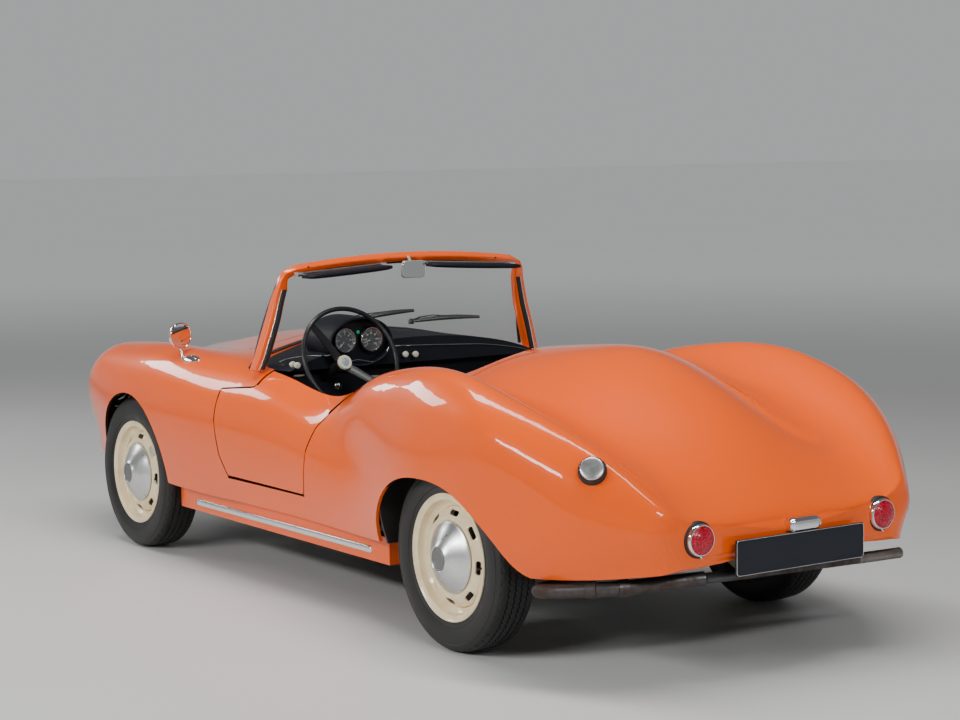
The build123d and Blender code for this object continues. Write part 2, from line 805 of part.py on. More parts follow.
def make_front_axle():
    """A beam under the engine with a fork at each end that holds the kingpin."""
    z = axle_height
    depth = (front_axle_x - BEAM_HALF, front_axle_x + BEAM_HALF)
    reach = kingpin_y - 46
    beam = block(depth, (-reach, reach), (z - 75, z - 20))
    stand = block(depth, (rail_inner, rail_outer), (z - 21, up(rail_front_height)))
    fork = (front_axle_x - FORK_HALF, front_axle_x + FORK_HALF)
    low, high = z + KINGPIN_LOW, z + KINGPIN_TOP
    back = block(fork, (kingpin_y - 70, reach + 1), (low - LUG_THICK, high + LUG_THICK))
    lugs = block(fork, (reach, kingpin_y + 20), (high, high + LUG_THICK))
    lugs = lugs + block(fork, (reach, kingpin_y + 20), (low - LUG_THICK, low))
    left = stand + back + lugs
    low, high = (front_axle_x, kingpin_y, z - 300), (front_axle_x, kingpin_y, z + 300)
    left = left - rod(low, high, KINGPIN_PIN + running_fit)
    return beam + left + mirrored(left)


def make_knuckle():
    """The left kingpin with its spindle, brake backing plate and steering arm."""
    x, y, z = front_axle_x, kingpin_y, axle_height
    post = rod((x, y, z + KINGPIN_LOW + fit), (x, y, z + KINGPIN_TOP - fit), KINGPIN_RADIUS)
    ends = (z + KINGPIN_LOW - LUG_THICK + 3, z + KINGPIN_TOP + LUG_THICK - 3)
    pin = rod((x, y, ends[0]), (x, y, ends[1]), KINGPIN_PIN)
    spindle = rod((x, y, z), (x, front_wheel_y + 16, z), SPINDLE_RADIUS)
    plate = rod((x, y + 40, z), (x, y + 48, z), DRUM_RADIUS)
    collar = rod((x, y, z), (x, y + 48, z), 34)
    arm = bar((x, y, z - 40), (x - 130, y - 22, z - 40), 26, 14)
    return post + pin + spindle + plate + collar + arm


def make_rear_axle():
    """The rear axle: two tubes from the differential to the brake plates and the spindles."""
    x, z = rear_axle_x, axle_height
    tube = rod((x, -(rear_wheel_y - 73), z), (x, rear_wheel_y - 73, z), AXLE_TUBE_RADIUS)
    spindle = rod((x, -(rear_wheel_y + 16), z), (x, rear_wheel_y + 16, z), SPINDLE_RADIUS)
    axle = tube + spindle + (Pos(x, 0, z) * Sphere(105)) + rod((x, 0, z), (x + 175, 0, z), 42)
    for side in (-1, 1):
        inner = side * (rear_wheel_y - 73)
        axle = axle + rod((x, inner, z), (x, inner + side * 8, z), DRUM_RADIUS)
    return axle


def make_rear_springs():
    """Leaf springs under the axle tubes, from an eye on the rail to a shackle behind."""
    x, z = rear_axle_x, axle_height
    bed = z - 36
    eye_front = (x + 560, up(chassis_height) + rail_height / 2)
    eye_back = (x - 520, up(390) + 20)
    y_low = rail_outer
    face_line = Spline(
        Vector(eye_front[0], y_low, eye_front[1]),
        Vector(x + 60, y_low, bed - 12),
        Vector(x - 60, y_low, bed - 12),
        Vector(eye_back[0], y_low, eye_back[1]),
    )
    curve = face_line.edges()[0]
    lower = [curve @ t for t in np.linspace(0, 1, 13)]
    under = [Vector(p.X, p.Y, p.Z - 18) for p in lower[::-1]]
    ends = [Edge.make_line(lower[-1], under[0]), Edge.make_line(under[-1], lower[0])]
    face = Face(Wire([Edge.make_spline(lower), ends[0], Edge.make_spline(under), ends[1]]))
    leaf = Solid.extrude(face, Vector(0, 48, 0))
    clamp = block((x - 45, x + 45), (y_low + 2, y_low + 46), (bed - 30, bed + 1))
    leaf = (leaf + clamp) - rod((x, 0, z), (x, 700, z), AXLE_TUBE_RADIUS)
    for eye in (eye_front, eye_back):
        leaf = leaf + rod((eye[0], y_low, eye[1]), (eye[0], y_low + 48, eye[1]), 20)
    return Compound(children=[one(leaf), one(mirrored(leaf))])


def make_prop_shaft(engine, axle):
    """The propeller shaft from the gearbox back to the axle's nose."""
    return shaft_rod(shaft_radius) - engine - axle


def make_exhaust(engine):
    """A pipe from the engine along the floor, with a silencer, that swings out behind the
    left rear wheel and then runs crosswise under the tail to its tip on the right."""
    low = up(chassis_height) - 34
    y = rail_spread - exhaust_to_rail
    points = [
        (along(1890), 150, up(345)), (along(1800), y, up(330)), (along(1640), y, low),
        (along(470), y, low), (along(300), y + 10, axle_height - 80),
        (along(-120), y + 10, axle_height - 80), (along(-330), 370, axle_height - 64),
        (along(-415), 570, up(264)), (along(-545), 662, up(287)), (along(-700), 565, up(302)),
        (along(-800), 300, up(318)), (along(-838), -478, up(310)),
    ]
    radii = [35, 60, 120, 120, 120, 90, 90, 70, 80, 110]
    path = FilletPolyline(*[Vector(*p) for p in points], radius=radii)
    start = Vector(*points[0])
    section = Plane(origin=start, z_dir=Vector(*points[1]) - start) * Circle(exhaust_radius)
    pipe = sweep(section, path=path, transition=Transition.ROUND)
    can = rod((along(1380), y, low), (along(940), y, low), 52)
    return one((pipe - engine) + can)


# ---------------------------------------------------------------- wheels
def turned(points, origin, side):
    """A solid turned about a wheel's axle from (outward, radius) points."""
    x, y, z = origin
    plane = Plane(origin=(x, y, z), x_dir=(0, side, 0), z_dir=(-side, 0, 0))
    outline = [plane.from_local_coords((w, r, 0)) for w, r in points]
    face = Face(Wire.make_polygon(outline, close=True))
    return revolve(face, Axis((x, y, z), (0, 1, 0)), 360)


def make_wheel(origin, side):
    """A pressed steel wheel: drop-centre rim, slotted disc, hub and conical hub cap."""
    edge = rim_width / 2
    seat = bead_radius
    well = seat - 22
    wall = rim_wall
    barrel = [
        (-edge, rim_radius), (-edge + 4, rim_radius), (-edge + 4, seat), (-34, seat),
        (-28, well), (22, well), (28, seat), (edge - 4, seat), (edge - 4, rim_radius),
        (edge, rim_radius), (edge, seat - wall), (31, seat - wall), (25, well - wall),
        (-31, well - wall), (-37, seat - wall), (-edge, seat - wall),
    ]
    face = disc_face
    disc = [
        (18, well - wall + 1), (24, well - wall + 1), (face - 4, 158), (face, 140), (face, 112),
        (18, 100), (18, hub_bore), (-45, hub_bore), (-45, 45), (11, 45), (11, 103),
        (face - 6, 118), (face - 6, 138), (face - 10, 154),
    ]
    top = face + hub_cap_height
    cap = [
        (face - 1, 116.5), (face + 5, 116.5), (top - 22, 60), (top - 4, 43), (top, 41), (top, 0),
        (top - 6, 0), (top - 6, 37), (top - 26, 54), (face, 111),
    ]
    wheel = turned(barrel, origin, side) + turned(disc, origin, side) + turned(cap, origin, side)
    x, y, z = origin
    for i in range(slot_count):
        turn = 360 * (i + 0.5) / slot_count
        tool = Pos(0, 0, 152) * Box(44, 80, 15)
        tool = Rot(0, turn, 0) * tool
        wheel = wheel - (Pos(x, y + side * 20, z) * tool)
    return wheel


def make_tyre(origin, side):
    """A tyre with flat tread, round shoulders and full side walls, seated on the rim."""
    edge = rim_width / 2 - 4
    half = tyre_width / 2
    tread = tyre_radius
    points = [
        (-edge, bead_radius), (-edge, rim_radius + 1), (-half + 4, rim_radius + 22),
        (-half, rim_radius + 50), (-half + 5, tread - 24), (-half + 20, tread - 6),
        (-half + 32, tread),
    ]
    points = points + [(-w, r) for w, r in points[::-1]]
    return turned(points, origin, side)


def wheel_places():
    return {
        "front_left": ((front_axle_x, front_wheel_y, axle_height), 1),
        "front_right": ((front_axle_x, -front_wheel_y, axle_height), -1),
        "rear_left": ((rear_axle_x, rear_wheel_y, axle_height), 1),
        "rear_right": ((rear_axle_x, -rear_wheel_y, axle_height), -1),
    }


# ---------------------------------------------------------------- cockpit
STEERING_PLACE = (1135, 844)
STEERING_DISH = 62
STEERING_BOX_AT = 1858
STEERING_COLUMN_RADIUS = 22
SHAFT_END = 9
HOOD_FACE = 1231
DASH_FACE = 1252
PANEL_FACE = 1330
GAUGE_PLACES = (327, 209)
GAUGE_RADIUS = 50


def steering_centre():
    """The middle of the steering wheel's rim, a hand's clearance inside the door."""
    y = across(door_inner) - steering_door_gap - steering_rim_radius
    return Vector(along(STEERING_PLACE[0]), y, up(STEERING_PLACE[1]))


def column_direction():
    lean = radians(steering_lean)
    return Vector(cos(lean), 0, -sin(lean))


def column_ends():
    """The steering column's line from below the hub to the steering box on the rail."""
    start = steering_centre() + column_direction() * (STEERING_DISH + 28)
    reach = (along(STEERING_BOX_AT) - start.X) / column_direction().X
    return start, start + column_direction() * reach


def column_rod(radius):
    return rod(*column_ends(), radius)


def make_steering_wheel():
    """A thin rim, two broad dished spokes and a hub with a round button."""
    axis = column_direction()
    centre = steering_centre()
    plane = Plane(origin=centre, x_dir=(0, 1, 0), z_dir=axis)
    rim = plane * Torus(steering_rim_radius - steering_tube, steering_tube)
    hub = rod(centre + axis * (STEERING_DISH - 22), centre + axis * (STEERING_DISH + 22), 30)
    button = rod(centre + axis * (STEERING_DISH - 34), centre + axis * (STEERING_DISH - 20), 24)
    shaft = rod(centre + axis * STEERING_DISH, centre + axis * (STEERING_DISH + 60), SHAFT_END)
    wheel = rim + hub + button + shaft
    for turn in (145, -35):
        reach = steering_rim_radius - steering_tube
        rise = plane.y_dir * (sin(radians(turn)) * reach)
        tip = centre + Vector(0, cos(radians(turn)), 0) * reach + rise
        root = centre + axis * STEERING_DISH
        run = tip - root
        spoke_plane = Plane(origin=root, x_dir=axis.cross(run), z_dir=run)
        wheel = wheel + extrude(spoke_plane * Rectangle(34, 7), amount=run.length)
    return wheel


def make_steering_column():
    column = column_rod(STEERING_COLUMN_RADIUS)
    start, end = column_ends()
    bore = rod(start - column_direction(), start + column_direction() * 60, SHAFT_END + running_fit)
    rail_top = up(rail_front_height) + rail_height
    foot = block((end.X - 60, end.X - 10), (rail_spread - 20, end.Y + 20), (rail_top, end.Z + 30))
    flange_x = along(front_bulkhead_at)
    share = (flange_x - 8 - start.X) / column_direction().X
    middle = start + column_direction() * share
    flange = rod((flange_x - 8, middle.Y, middle.Z), (flange_x, middle.Y, middle.Z), 60)
    return (column + foot + flange) - bore


def make_dashboard(outer):
    """A padded top under the windscreen, the upper face, the lower panel and the gauge hood."""
    plan = prism(cockpit_outline(fit, 560), (0, 0, up(480)))
    ahead = drawn_block((DASH_FACE, front_bulkhead_at), (-800, 800), (560, 1100))
    whole = outer & plan & ahead
    lowered = Pos(0, 0, -16) * outer
    hollow = lowered & drawn_block((DASH_FACE + 22, 2000), (-800, 800), (500, 1100))
    dash = whole - hollow - drawn_block((DASH_FACE - 10, 2000), (-800, 800), (400, 800))
    panel = whole & drawn_block((PANEL_FACE, PANEL_FACE + 14), (-800, 800), (640, 880))
    ledge = whole & drawn_block((DASH_FACE + 4, PANEL_FACE + 12), (-800, 800), (800, 812))
    hood_plane = Plane(origin=spot(HOOD_FACE, 268, 894), x_dir=(0, 1, 0), z_dir=(1, 0, 0))
    hood = extrude(hood_plane * Ellipse(138, 94), amount=180)
    mouth = extrude(hood_plane * Ellipse(128, 84), amount=34)
    dash = dash + panel + ledge + hood - mouth
    for y in GAUGE_PLACES:
        c = spot(HOOD_FACE, y, 897)
        dash = dash + rod((c.X + 14, c.Y, c.Z), (c.X + 35, c.Y, c.Z), GAUGE_RADIUS)
    return dash - column_rod(STEERING_COLUMN_RADIUS + fit)


def make_seat():
    """The left bucket seat: a cushion between low bolsters and a leaning back."""
    z = up(chassis_height) + rail_height + floor_thick
    low_y, high_y = 105, across(540)
    cushion = block((along(470), along(960)), (low_y, high_y), (z, z + 130))
    cushion = fillet(cushion.edges().filter_by(Axis.Z), 45)
    cushion = fillet(cushion.edges().group_by(Axis.Z)[-1], 28)
    top = up(805)
    side = [
        Vector(along(480), low_y, z + 60), Vector(along(590), low_y, z + 100),
        Vector(along(480), low_y, top), Vector(along(388), low_y, top),
    ]
    back = Solid.extrude(Face(Wire.make_polygon(side, close=True)), Vector(0, high_y - low_y, 0))
    back = fillet(back.edges().filter_by(Axis.Y), 20)
    return cushion + back


def make_gear_lever():
    z = up(chassis_height) + rail_height + 120
    x = along(1180)
    boot = Pos(x, 0, z + 14) * Cone(42, 16, 28)
    stick = rod((x, 0, z + 10), (x - 60, 0, z + 210), 6)
    knob = Pos(x - 62, 0, z + 216) * Sphere(20)
    return boot + stick + knob


def make_handbrake():
    z = up(chassis_height) + rail_height + 120
    x = along(700)
    foot = block((x + 150, x + 200), (-14, 14), (z, z + 30))
    lever = bar((x + 180, 0, z + 18), (x - 60, 0, z + 60), 20, 20)
    return foot + lever


def make_pedals():
    """Three hanging pedals on the front bulkhead."""
    x = along(front_bulkhead_at)
    solids = []
    for beside in (-122, -60, 62):
        y = steering_centre().Y + beside
        hanger = bar((x, y, up(560)), (x - 110, y, up(385)), 14, 14)
        pad = bar((x - 128, y, up(430)), (x - 92, y, up(345)), 56, 14)
        solids.append(one((hanger + pad) & block((x - 300, x), (-900, 900), (0, 2000))))
    return Compound(children=solids)


# ---------------------------------------------------------------- small outside pieces
MIRROR_FOOT = (1944, 622, 795)
MIRROR_HEAD = (2030, 620, 885)
MIRROR_RADIUS = 52
MIRROR_DEPTH = 38


def make_mirror(outer):
    """A round cupped mirror on a leaf-shaped foot on the left front fender."""
    foot_plane = Plane(origin=spot(*MIRROR_FOOT), x_dir=(1, 0, 0), z_dir=(0, 0.5, 0.86))
    foot = extrude(foot_plane * Ellipse(80, 23), amount=20, taper=35)
    head = spot(*MIRROR_HEAD)
    facing = Vector(-0.985, -0.17, 0)
    slope = MIRROR_RADIUS * 0.8
    edge = Line((0, 4), (MIRROR_RADIUS, 4)) + Line((MIRROR_RADIUS, 4), (MIRROR_RADIUS, 0))
    edge += ThreePointArc((MIRROR_RADIUS, 0), (slope, -MIRROR_DEPTH * 0.62), (0, -MIRROR_DEPTH))
    edge += Line((0, -MIRROR_DEPTH), (0, 4))
    cup = Plane(origin=head, z_dir=facing) * revolve(Plane.XZ * make_face(edge), Axis.Z)
    low = head - Vector(13, 0, up(94))
    stem = rod(low, head - facing * 14 - Vector(0, 0, 34), 5)
    return (foot + stem + cup) - outer


FUEL_CAP = (-670, 620, 660)
FUEL_CAP_RADIUS = 41
FUEL_CAP_HEIGHT = 24


def make_fuel_cap(outer):
    """The round filler cap on the left rear fender, square to the paint there."""
    centre = spot(*FUEL_CAP)
    out = Vector(-0.65, 0.57, 0.5).normalized()
    ring = rod(centre - out * 25, centre + out * FUEL_CAP_HEIGHT, FUEL_CAP_RADIUS)
    face = rod(centre, centre + out * (FUEL_CAP_HEIGHT + 3), FUEL_CAP_RADIUS - 6)
    return (ring + face) - outer


def make_plate(rear):
    """The blank number plate and the two arms that hold it off the tail."""
    plate = block((along(-900), along(-900) + 3), (-260, 260), (up(333), up(333) + 110))
    tail = along(-872)
    for side in (-1, 1):
        width = (side * 150 - 10, side * 150 + 10)
        arm = block((along(-900) + 2, tail + 25), width, (up(405), up(405) + 14))
        plate = plate + (arm - rear)
    return plate


def make_plate_lamp(rear):
    lamp = block((along(-905), along(-845)), (-36, 36), (up(446), up(446) + 26)) - rear
    return lamp.solids().sort_by(Axis.X)[0]


def make_interior_mirror(frame):
    top = spot(1337, 0, 1196)
    stem = rod((top.X + 5, 0, top.Z + 6), (top.X - 50, 0, top.Z - 38), 5) - frame
    stem = stem.solids().sort_by(Axis.X)[0]
    head = block((top.X - 62, top.X - 44), (-52, 52), (top.Z - 74, top.Z - 16))
    return stem + head


def make_sun_visors(frame):
    """Two visors swung up behind the header, each on its hinge rod."""
    solids = []
    for side in (-1, 1):
        ends = sorted((side * across(105), side * across(455)))
        board = block((along(1225), along(1300)), ends, (up(1158), up(1158) + 12))
        hanger_y = side * across(300)
        ends_y = (hanger_y - 12, hanger_y + 12)
        hanger = block((along(1285), along(1345)), ends_y, (up(1160), up(1181))) - frame
        solids.append(one(board + hanger.solids().sort_by(Axis.X)[0]))
    return Compound(children=solids)


def make_wipers(outer):
    """Two wipers parked across the foot of the glass, each on its own spindle."""
    solids = []
    for y, tip in ((190, -150), (-230, -500)):
        foot = spot(windscreen_x(y, 905) + 42, y, 900)
        post = rod((foot.X, foot.Y, foot.Z - 60), (foot.X, foot.Y, foot.Z + 22), 9)
        end = spot(windscreen_x(tip, 935) + 12, tip, 935)
        arm = rod((foot.X, foot.Y, foot.Z + 16), (end.X, end.Y, end.Z), 5)
        solids.append(one((post - outer) + arm))
    return Compound(children=solids)


# ---------------------------------------------------------------- the whole car
def make_all():
    outer = make_outer()
    inside = make_inside()
    frame, glass = make_windscreen(outer)
    nodes = make_panels(outer, inside)
    rear = nodes["rear_body"]
    nodes["windscreen_frame"] = frame
    nodes["windscreen_glass"] = glass
    nodes["chassis_rails"] = make_rails()
    nodes["cross_members"] = make_cross_members()
    nodes["floor_pan"] = Compound(children=[one(make_floor()), one(make_boot_floor(inside))])
    nodes["bulkheads"] = make_bulkheads(inside, nodes["chassis_rails"], nodes["cross_members"])
    nodes["engine_block"] = make_engine()
    nodes["front_axle"] = make_front_axle()
    nodes["rear_axle"] = make_rear_axle()
    nodes["rear_springs"] = make_rear_springs()
    nodes["prop_shaft"] = make_prop_shaft(nodes["engine_block"], nodes["rear_axle"])
    nodes["exhaust"] = make_exhaust(nodes["engine_block"])
    nodes["left_knuckle"] = make_knuckle()
    nodes["right_knuckle"] = mirrored(nodes["left_knuckle"])
    nodes["steering_wheel"] = make_steering_wheel()
    nodes["steering_column"] = make_steering_column()
    nodes["dashboard"] = make_dashboard(outer)
    nodes["left_seat"] = make_seat()
    nodes["right_seat"] = mirrored(nodes["left_seat"])
    nodes["hand_levers"] = Compound(children=[one(make_gear_lever()), one(make_handbrake())])
    nodes["pedals"] = make_pedals()
    nodes["front_lamps"] = Compound(children=make_headlamps() + make_indicators())
    nodes["grille"] = make_grille()
    nodes["tail_lamps"] = make_tail_lamps()
    nodes["fender_mirror"] = make_mirror(outer)
    nodes["fuel_cap"] = make_fuel_cap(outer)
    nodes["number_plate"] = make_plate(rear)
    nodes["plate_lamp"] = make_plate_lamp(rear)
    nodes["interior_mirror"] = make_interior_mirror(frame)
    nodes["sun_visors"] = make_sun_visors(frame)
    nodes["wipers"] = make_wipers(outer)
    for name, (origin, side) in wheel_places().items():
        nodes[f"{name}_wheel"] = make_wheel(origin, side)
        nodes[f"{name}_tyre"] = make_tyre(origin, side)
    return nodes


if __name__ == "__main__":
    os.makedirs("parts", exist_ok=True)
    for name, shape in make_all().items():
        export_step(one(shape), f"parts/{name}.step")
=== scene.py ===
import bpy
import bmesh
from math import cos, exp, pi, radians, sin, sqrt
from mathutils import Matrix, Vector


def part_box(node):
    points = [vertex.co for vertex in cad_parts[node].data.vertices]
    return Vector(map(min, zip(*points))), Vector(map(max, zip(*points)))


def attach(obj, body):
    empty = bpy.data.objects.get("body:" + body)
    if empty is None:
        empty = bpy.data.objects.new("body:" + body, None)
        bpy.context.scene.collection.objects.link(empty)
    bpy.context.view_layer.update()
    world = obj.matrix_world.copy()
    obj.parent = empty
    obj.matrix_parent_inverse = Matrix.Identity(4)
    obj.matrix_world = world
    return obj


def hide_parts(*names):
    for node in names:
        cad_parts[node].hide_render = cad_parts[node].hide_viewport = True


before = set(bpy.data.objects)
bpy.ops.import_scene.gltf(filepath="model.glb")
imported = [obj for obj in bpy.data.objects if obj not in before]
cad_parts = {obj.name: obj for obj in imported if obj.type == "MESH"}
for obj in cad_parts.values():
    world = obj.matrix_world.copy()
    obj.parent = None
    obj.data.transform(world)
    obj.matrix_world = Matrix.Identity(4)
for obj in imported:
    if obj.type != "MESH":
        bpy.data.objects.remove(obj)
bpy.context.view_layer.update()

# ---------------------------------------------------------------- the place and the view
# A pale plain floor under soft studio light, with the camera behind the car's left rear
# wheel at a standing eye's height. Places follow the rear axle, found from its wheel.
rear_wheel_low, rear_wheel_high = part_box("rear_left_wheel")
rear_axle_x = (rear_wheel_low.x + rear_wheel_high.x) / 2


def from_rear(x, y, z):
    """A place measured forward and left of the ground point under the rear axle."""
    return Vector((rear_axle_x + x, y, z))


camera_place = from_rear(-5.8652, 4.5387, 1.6502)
camera_heading, camera_dip, camera_lean = -0.5956, 0.1002, -0.0134
camera_data = bpy.data.cameras.new("camera")
camera_data.sensor_width = 36
camera_data.lens = 82.91
camera = bpy.data.objects.new("camera", camera_data)
bpy.context.scene.collection.objects.link(camera)
bpy.context.scene.camera = camera
heading = Matrix.Rotation(camera_heading - pi / 2, 4, "Z")
dip = Matrix.Rotation(pi / 2 - camera_dip, 4, "X")
lean = Matrix.Rotation(camera_lean, 4, "Z")
camera.matrix_world = Matrix.Translation(camera_place) @ heading @ dip @ lean


def soft_box(name, place, target, width, height, watts):
    """A long soft light, aimed at a target."""
    data = bpy.data.lights.new(name, "AREA")
    data.shape = "RECTANGLE"
    data.size = width
    data.size_y = height
    data.energy = watts
    lamp = bpy.data.objects.new(name, data)
    lamp.location = place
    lamp.rotation_euler = (Vector(target) - Vector(place)).to_track_quat("-Z", "Y").to_euler()
    bpy.context.scene.collection.objects.link(lamp)


soft_box("light_above", (-0.6, 0.5, 5.0), (-0.4, 0, 0), 7.0, 0.7, 245)
soft_box("light_left", (-1.2, 6.6, 3.4), (-0.4, 0, 0.5), 5.0, 0.5, 290)
soft_box("light_behind", (-7.0, 1.2, 3.4), (-1.0, 0, 0.6), 3.2, 0.45, 150)
soft_box("light_front", (6.0, 2.4, 3.2), (1.0, 0, 0.5), 3.0, 0.8, 80)

world = bpy.data.worlds.new("studio")
world.use_nodes = True
sky = world.node_tree
sky.nodes["Background"].inputs["Color"].default_value = (0.90, 0.92, 0.93, 1)
direction = sky.nodes.new("ShaderNodeTexCoord").outputs["Generated"]
height = sky.nodes.new("ShaderNodeSeparateXYZ")
fall = sky.nodes.new("ShaderNodeMapRange")
band_low, band_high, horizon_light, upper_light = 0.08, 0.34, 0.46, 0.15
for socket, value in enumerate((band_low, band_high, horizon_light, upper_light), 1):
    fall.inputs[socket].default_value = value
sky.links.new(direction, height.inputs[0])
sky.links.new(height.outputs[2], fall.inputs[0])
sky.links.new(fall.outputs[0], sky.nodes["Background"].inputs["Strength"])
bpy.context.scene.world = world


# ---------------------------------------------------------------- floor
# The floor is a plain pale slab, a little rough, that carries only the car's soft shadow.
class Value:
    """What comes out of a shader node, so that shader maths reads as Python."""

    def __init__(self, finish, socket):
        self.finish = finish
        self.socket = socket

    def math(self, operation, *others, swapped=False):
        terms = (*others, self) if swapped else (self, *others)
        return self.finish.node("Math", dict(enumerate(terms)), operation=operation)

    def __add__(self, other):
        return self.math("ADD", other)

    def __radd__(self, other):
        return self.math("ADD", other)

    def __sub__(self, other):
        return self.math("SUBTRACT", other)

    def __rsub__(self, other):
        return self.math("SUBTRACT", other, swapped=True)

    def __mul__(self, other):
        return self.math("MULTIPLY", other)

    def __rmul__(self, other):
        return self.math("MULTIPLY", other)

    def __pow__(self, other):
        return self.math("POWER", other)

    def above(self, edge, width):
        """0 below edge - width, 1 above edge + width, smooth between."""
        settings = dict(interpolation_type="SMOOTHSTEP")
        inputs = {0: self, 1: edge - width, 2: edge + width}
        return self.finish.node("MapRange", inputs, **settings)

    def mix(self, low, high):
        """A colour between two, by this value."""
        return self.finish.node("Mix", {0: self, 6: low, 7: high}, output=2, data_type="RGBA")


class Finish:
    """One material in the record's slot. node() adds any node, shader() sets the surface."""

    def __init__(self, name, slot=None, **sockets):
        self.slot = slot
        self.material = bpy.data.materials.new(name)
        self.material.use_nodes = True
        self.tree = self.material.node_tree
        self.surface = self.tree.nodes["Principled BSDF"]
        self.shader(**sockets)

    def feed(self, socket, value):
        if isinstance(value, Value):
            self.tree.links.new(value.socket, socket)
        elif isinstance(value, tuple) and len(value) == 3 and len(socket.default_value) == 4:
            socket.default_value = (*value, 1)
        else:
            socket.default_value = value

    def shader(self, **sockets):
        for name, value in sockets.items():
            self.feed(self.surface.inputs[name.replace("_", " ")], value)

    def node(self, kind, inputs=None, output=0, **settings):
        """Any node: its settings come first, then the values or links of its sockets."""
        made = self.tree.nodes.new("ShaderNode" + kind)
        for name, value in settings.items():
            setattr(made, name, value)
        for name, value in (inputs or {}).items():
            self.feed(made.inputs[name], value)
        return Value(self, made.outputs[output])

    def place(self, output="Object"):
        return self.node("TexCoord", output=output)

    def along(self, axis, where=None):
        """One coordinate of a place: 0 for x, 1 for y, 2 for z."""
        return self.node("SeparateXYZ", {0: where or self.place()}, output=axis)

    def noise(self, scale, detail=3, rough=0.5, where=None):
        inputs = {"Vector": where or self.place(), "Scale": scale, "Detail": detail, "Roughness": rough}
        return self.node("TexNoise", inputs)

    def cells(self, scale, feature="F1"):
        """Distance to the nearest of many scattered points, or to the edges between them."""
        inputs = {"Vector": self.place(), "Scale": scale}
        return self.node("TexVoronoi", inputs, feature=feature)

    def bump(self, height, strength, depth):
        inputs = {"Height": height, "Strength": strength, "Distance": depth}
        self.shader(Normal=self.node("Bump", inputs))


def mesh_piece(name, shape, finish, body=None, smooth=40):
    """A mesh object from (points, faces), smooth apart from corners over so many degrees."""
    points, faces = shape
    mesh = bpy.data.meshes.new(name)
    mesh.from_pydata([tuple(p) for p in points], [], faces)
    mesh.validate()
    work = bmesh.new()
    work.from_mesh(mesh)
    bmesh.ops.remove_doubles(work, verts=work.verts, dist=0.00002)
    bmesh.ops.recalc_face_normals(work, faces=work.faces)
    work.to_mesh(mesh)
    work.free()
    mesh.materials.append(finish.material)
    if smooth:
        mesh.shade_smooth()
        mesh.set_sharp_from_angle(angle=radians(smooth))
    made = bpy.data.objects.new(name, mesh)
    bpy.context.scene.collection.objects.link(made)
    if body:
        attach(made, body)
    return made


floor_finish = Finish("floor_pale", Roughness=0.5, Specular_IOR_Level=0.4)
floor_shade = floor_finish.noise(0.6).mix((0.60, 0.60, 0.59), (0.66, 0.66, 0.65))
far_x, far_y = floor_finish.along(0), floor_finish.along(1)
far = ((far_x * far_x + far_y * far_y) ** 0.5).above(11, 8)
floor_finish.shader(Base_Color=floor_shade, Emission_Strength=0.30)
floor_finish.shader(Emission_Color=far.mix((0, 0, 0), (0.90, 0.92, 0.93)))
floor_corners = [(-90, -90, 0), (90, -90, 0), (90, 90, 0), (-90, 90, 0)]
mesh_piece("floor", (floor_corners, [(0, 1, 2, 3)]), floor_finish)


# ---------------------------------------------------------------- chassis, axles and springs
# A welded ladder of box rails with bolted cross members, sprayed black and dulled by road
# dust, as are the axles. Knuckles and springs are bare cast and forged iron, oiled and dark.
def refinish(finish, *nodes):
    """Gives carried-over nodes a finish, with their shape as it is."""
    for node in nodes:
        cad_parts[node].data.materials.clear()
        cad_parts[node].data.materials.append(finish.material)


def dusty_black(name, slot, dust):
    """Black paint that holds more dust on its upward faces."""
    black = Finish(name, slot)
    upward = black.along(2, black.place("Normal")).above(0.3, 0.5)
    cloud = black.noise(9, detail=6, rough=0.65)
    settled = cloud * (0.25 + upward * 0.55)
    black.shader(Base_Color=settled.mix((0.013, 0.013, 0.014), dust), Roughness=0.38 + settled * 0.5)
    black.bump(black.noise(240, detail=2), 0.15, 0.0006)
    return black


chassis_black = dusty_black("chassis_black", "chassis_black", (0.10, 0.085, 0.07))
refinish(chassis_black, "chassis_rails", "cross_members", "bulkheads", "front_axle", "rear_axle")

iron = Finish("cast_iron", "iron", Metallic=0.75)
iron_cloud = iron.noise(22, detail=6, rough=0.6)
iron.shader(Base_Color=iron_cloud.mix((0.05, 0.048, 0.045), (0.14, 0.12, 0.10)))
iron.shader(Roughness=0.5 + iron_cloud * 0.3)
iron.bump(iron.cells(420), 0.35, 0.0008)
refinish(iron, "engine_block", "left_knuckle", "right_knuckle", "rear_springs", "prop_shaft")

carpet = Finish("floor_carpet", "chassis_black", Sheen_Weight=0.3, Sheen_Roughness=0.6)
carpet_up = carpet.along(2, carpet.place("Normal")).above(-0.5, 0.1)
carpet_pile = carpet.noise(700, detail=2)
carpet.shader(Base_Color=(carpet_pile * carpet_up).mix((0.010, 0.010, 0.010), (0.045, 0.043, 0.042)))
carpet.shader(Roughness=0.95)
carpet.bump(carpet_pile, 0.6, 0.002)
refinish(carpet, "floor_pan")


# ---------------------------------------------------------------- exhaust
# A bent steel pipe with a silencer, scaled brown where it runs hot. A smoother browned
# sleeve is slipped over its tail, and collars join its lengths behind the left wheel.
def stitched(rows, wide, closed=False):
    """The faces between rows of points, where each row is a closed outline."""
    faces = []
    for row in range(rows if closed else rows - 1):
        a, b = row * wide, (row + 1) % rows * wide
        faces += [(a + j, a + (j + 1) % wide, b + (j + 1) % wide, b + j) for j in range(wide)]
    return faces


def turned(profile, centre, axis, steps=64):
    """A turned shape from (along, radius) points about an axis through centre."""
    axis = Vector(axis).normalized()
    side = axis.orthogonal().normalized()
    other = axis.cross(side)
    points = []
    for along, radius in profile:
        for i in range(steps):
            turn = 2 * pi * i / steps
            outward = side * cos(turn) + other * sin(turn)
            points.append(Vector(centre) + axis * along + outward * radius)
    return points, stitched(len(profile), steps)


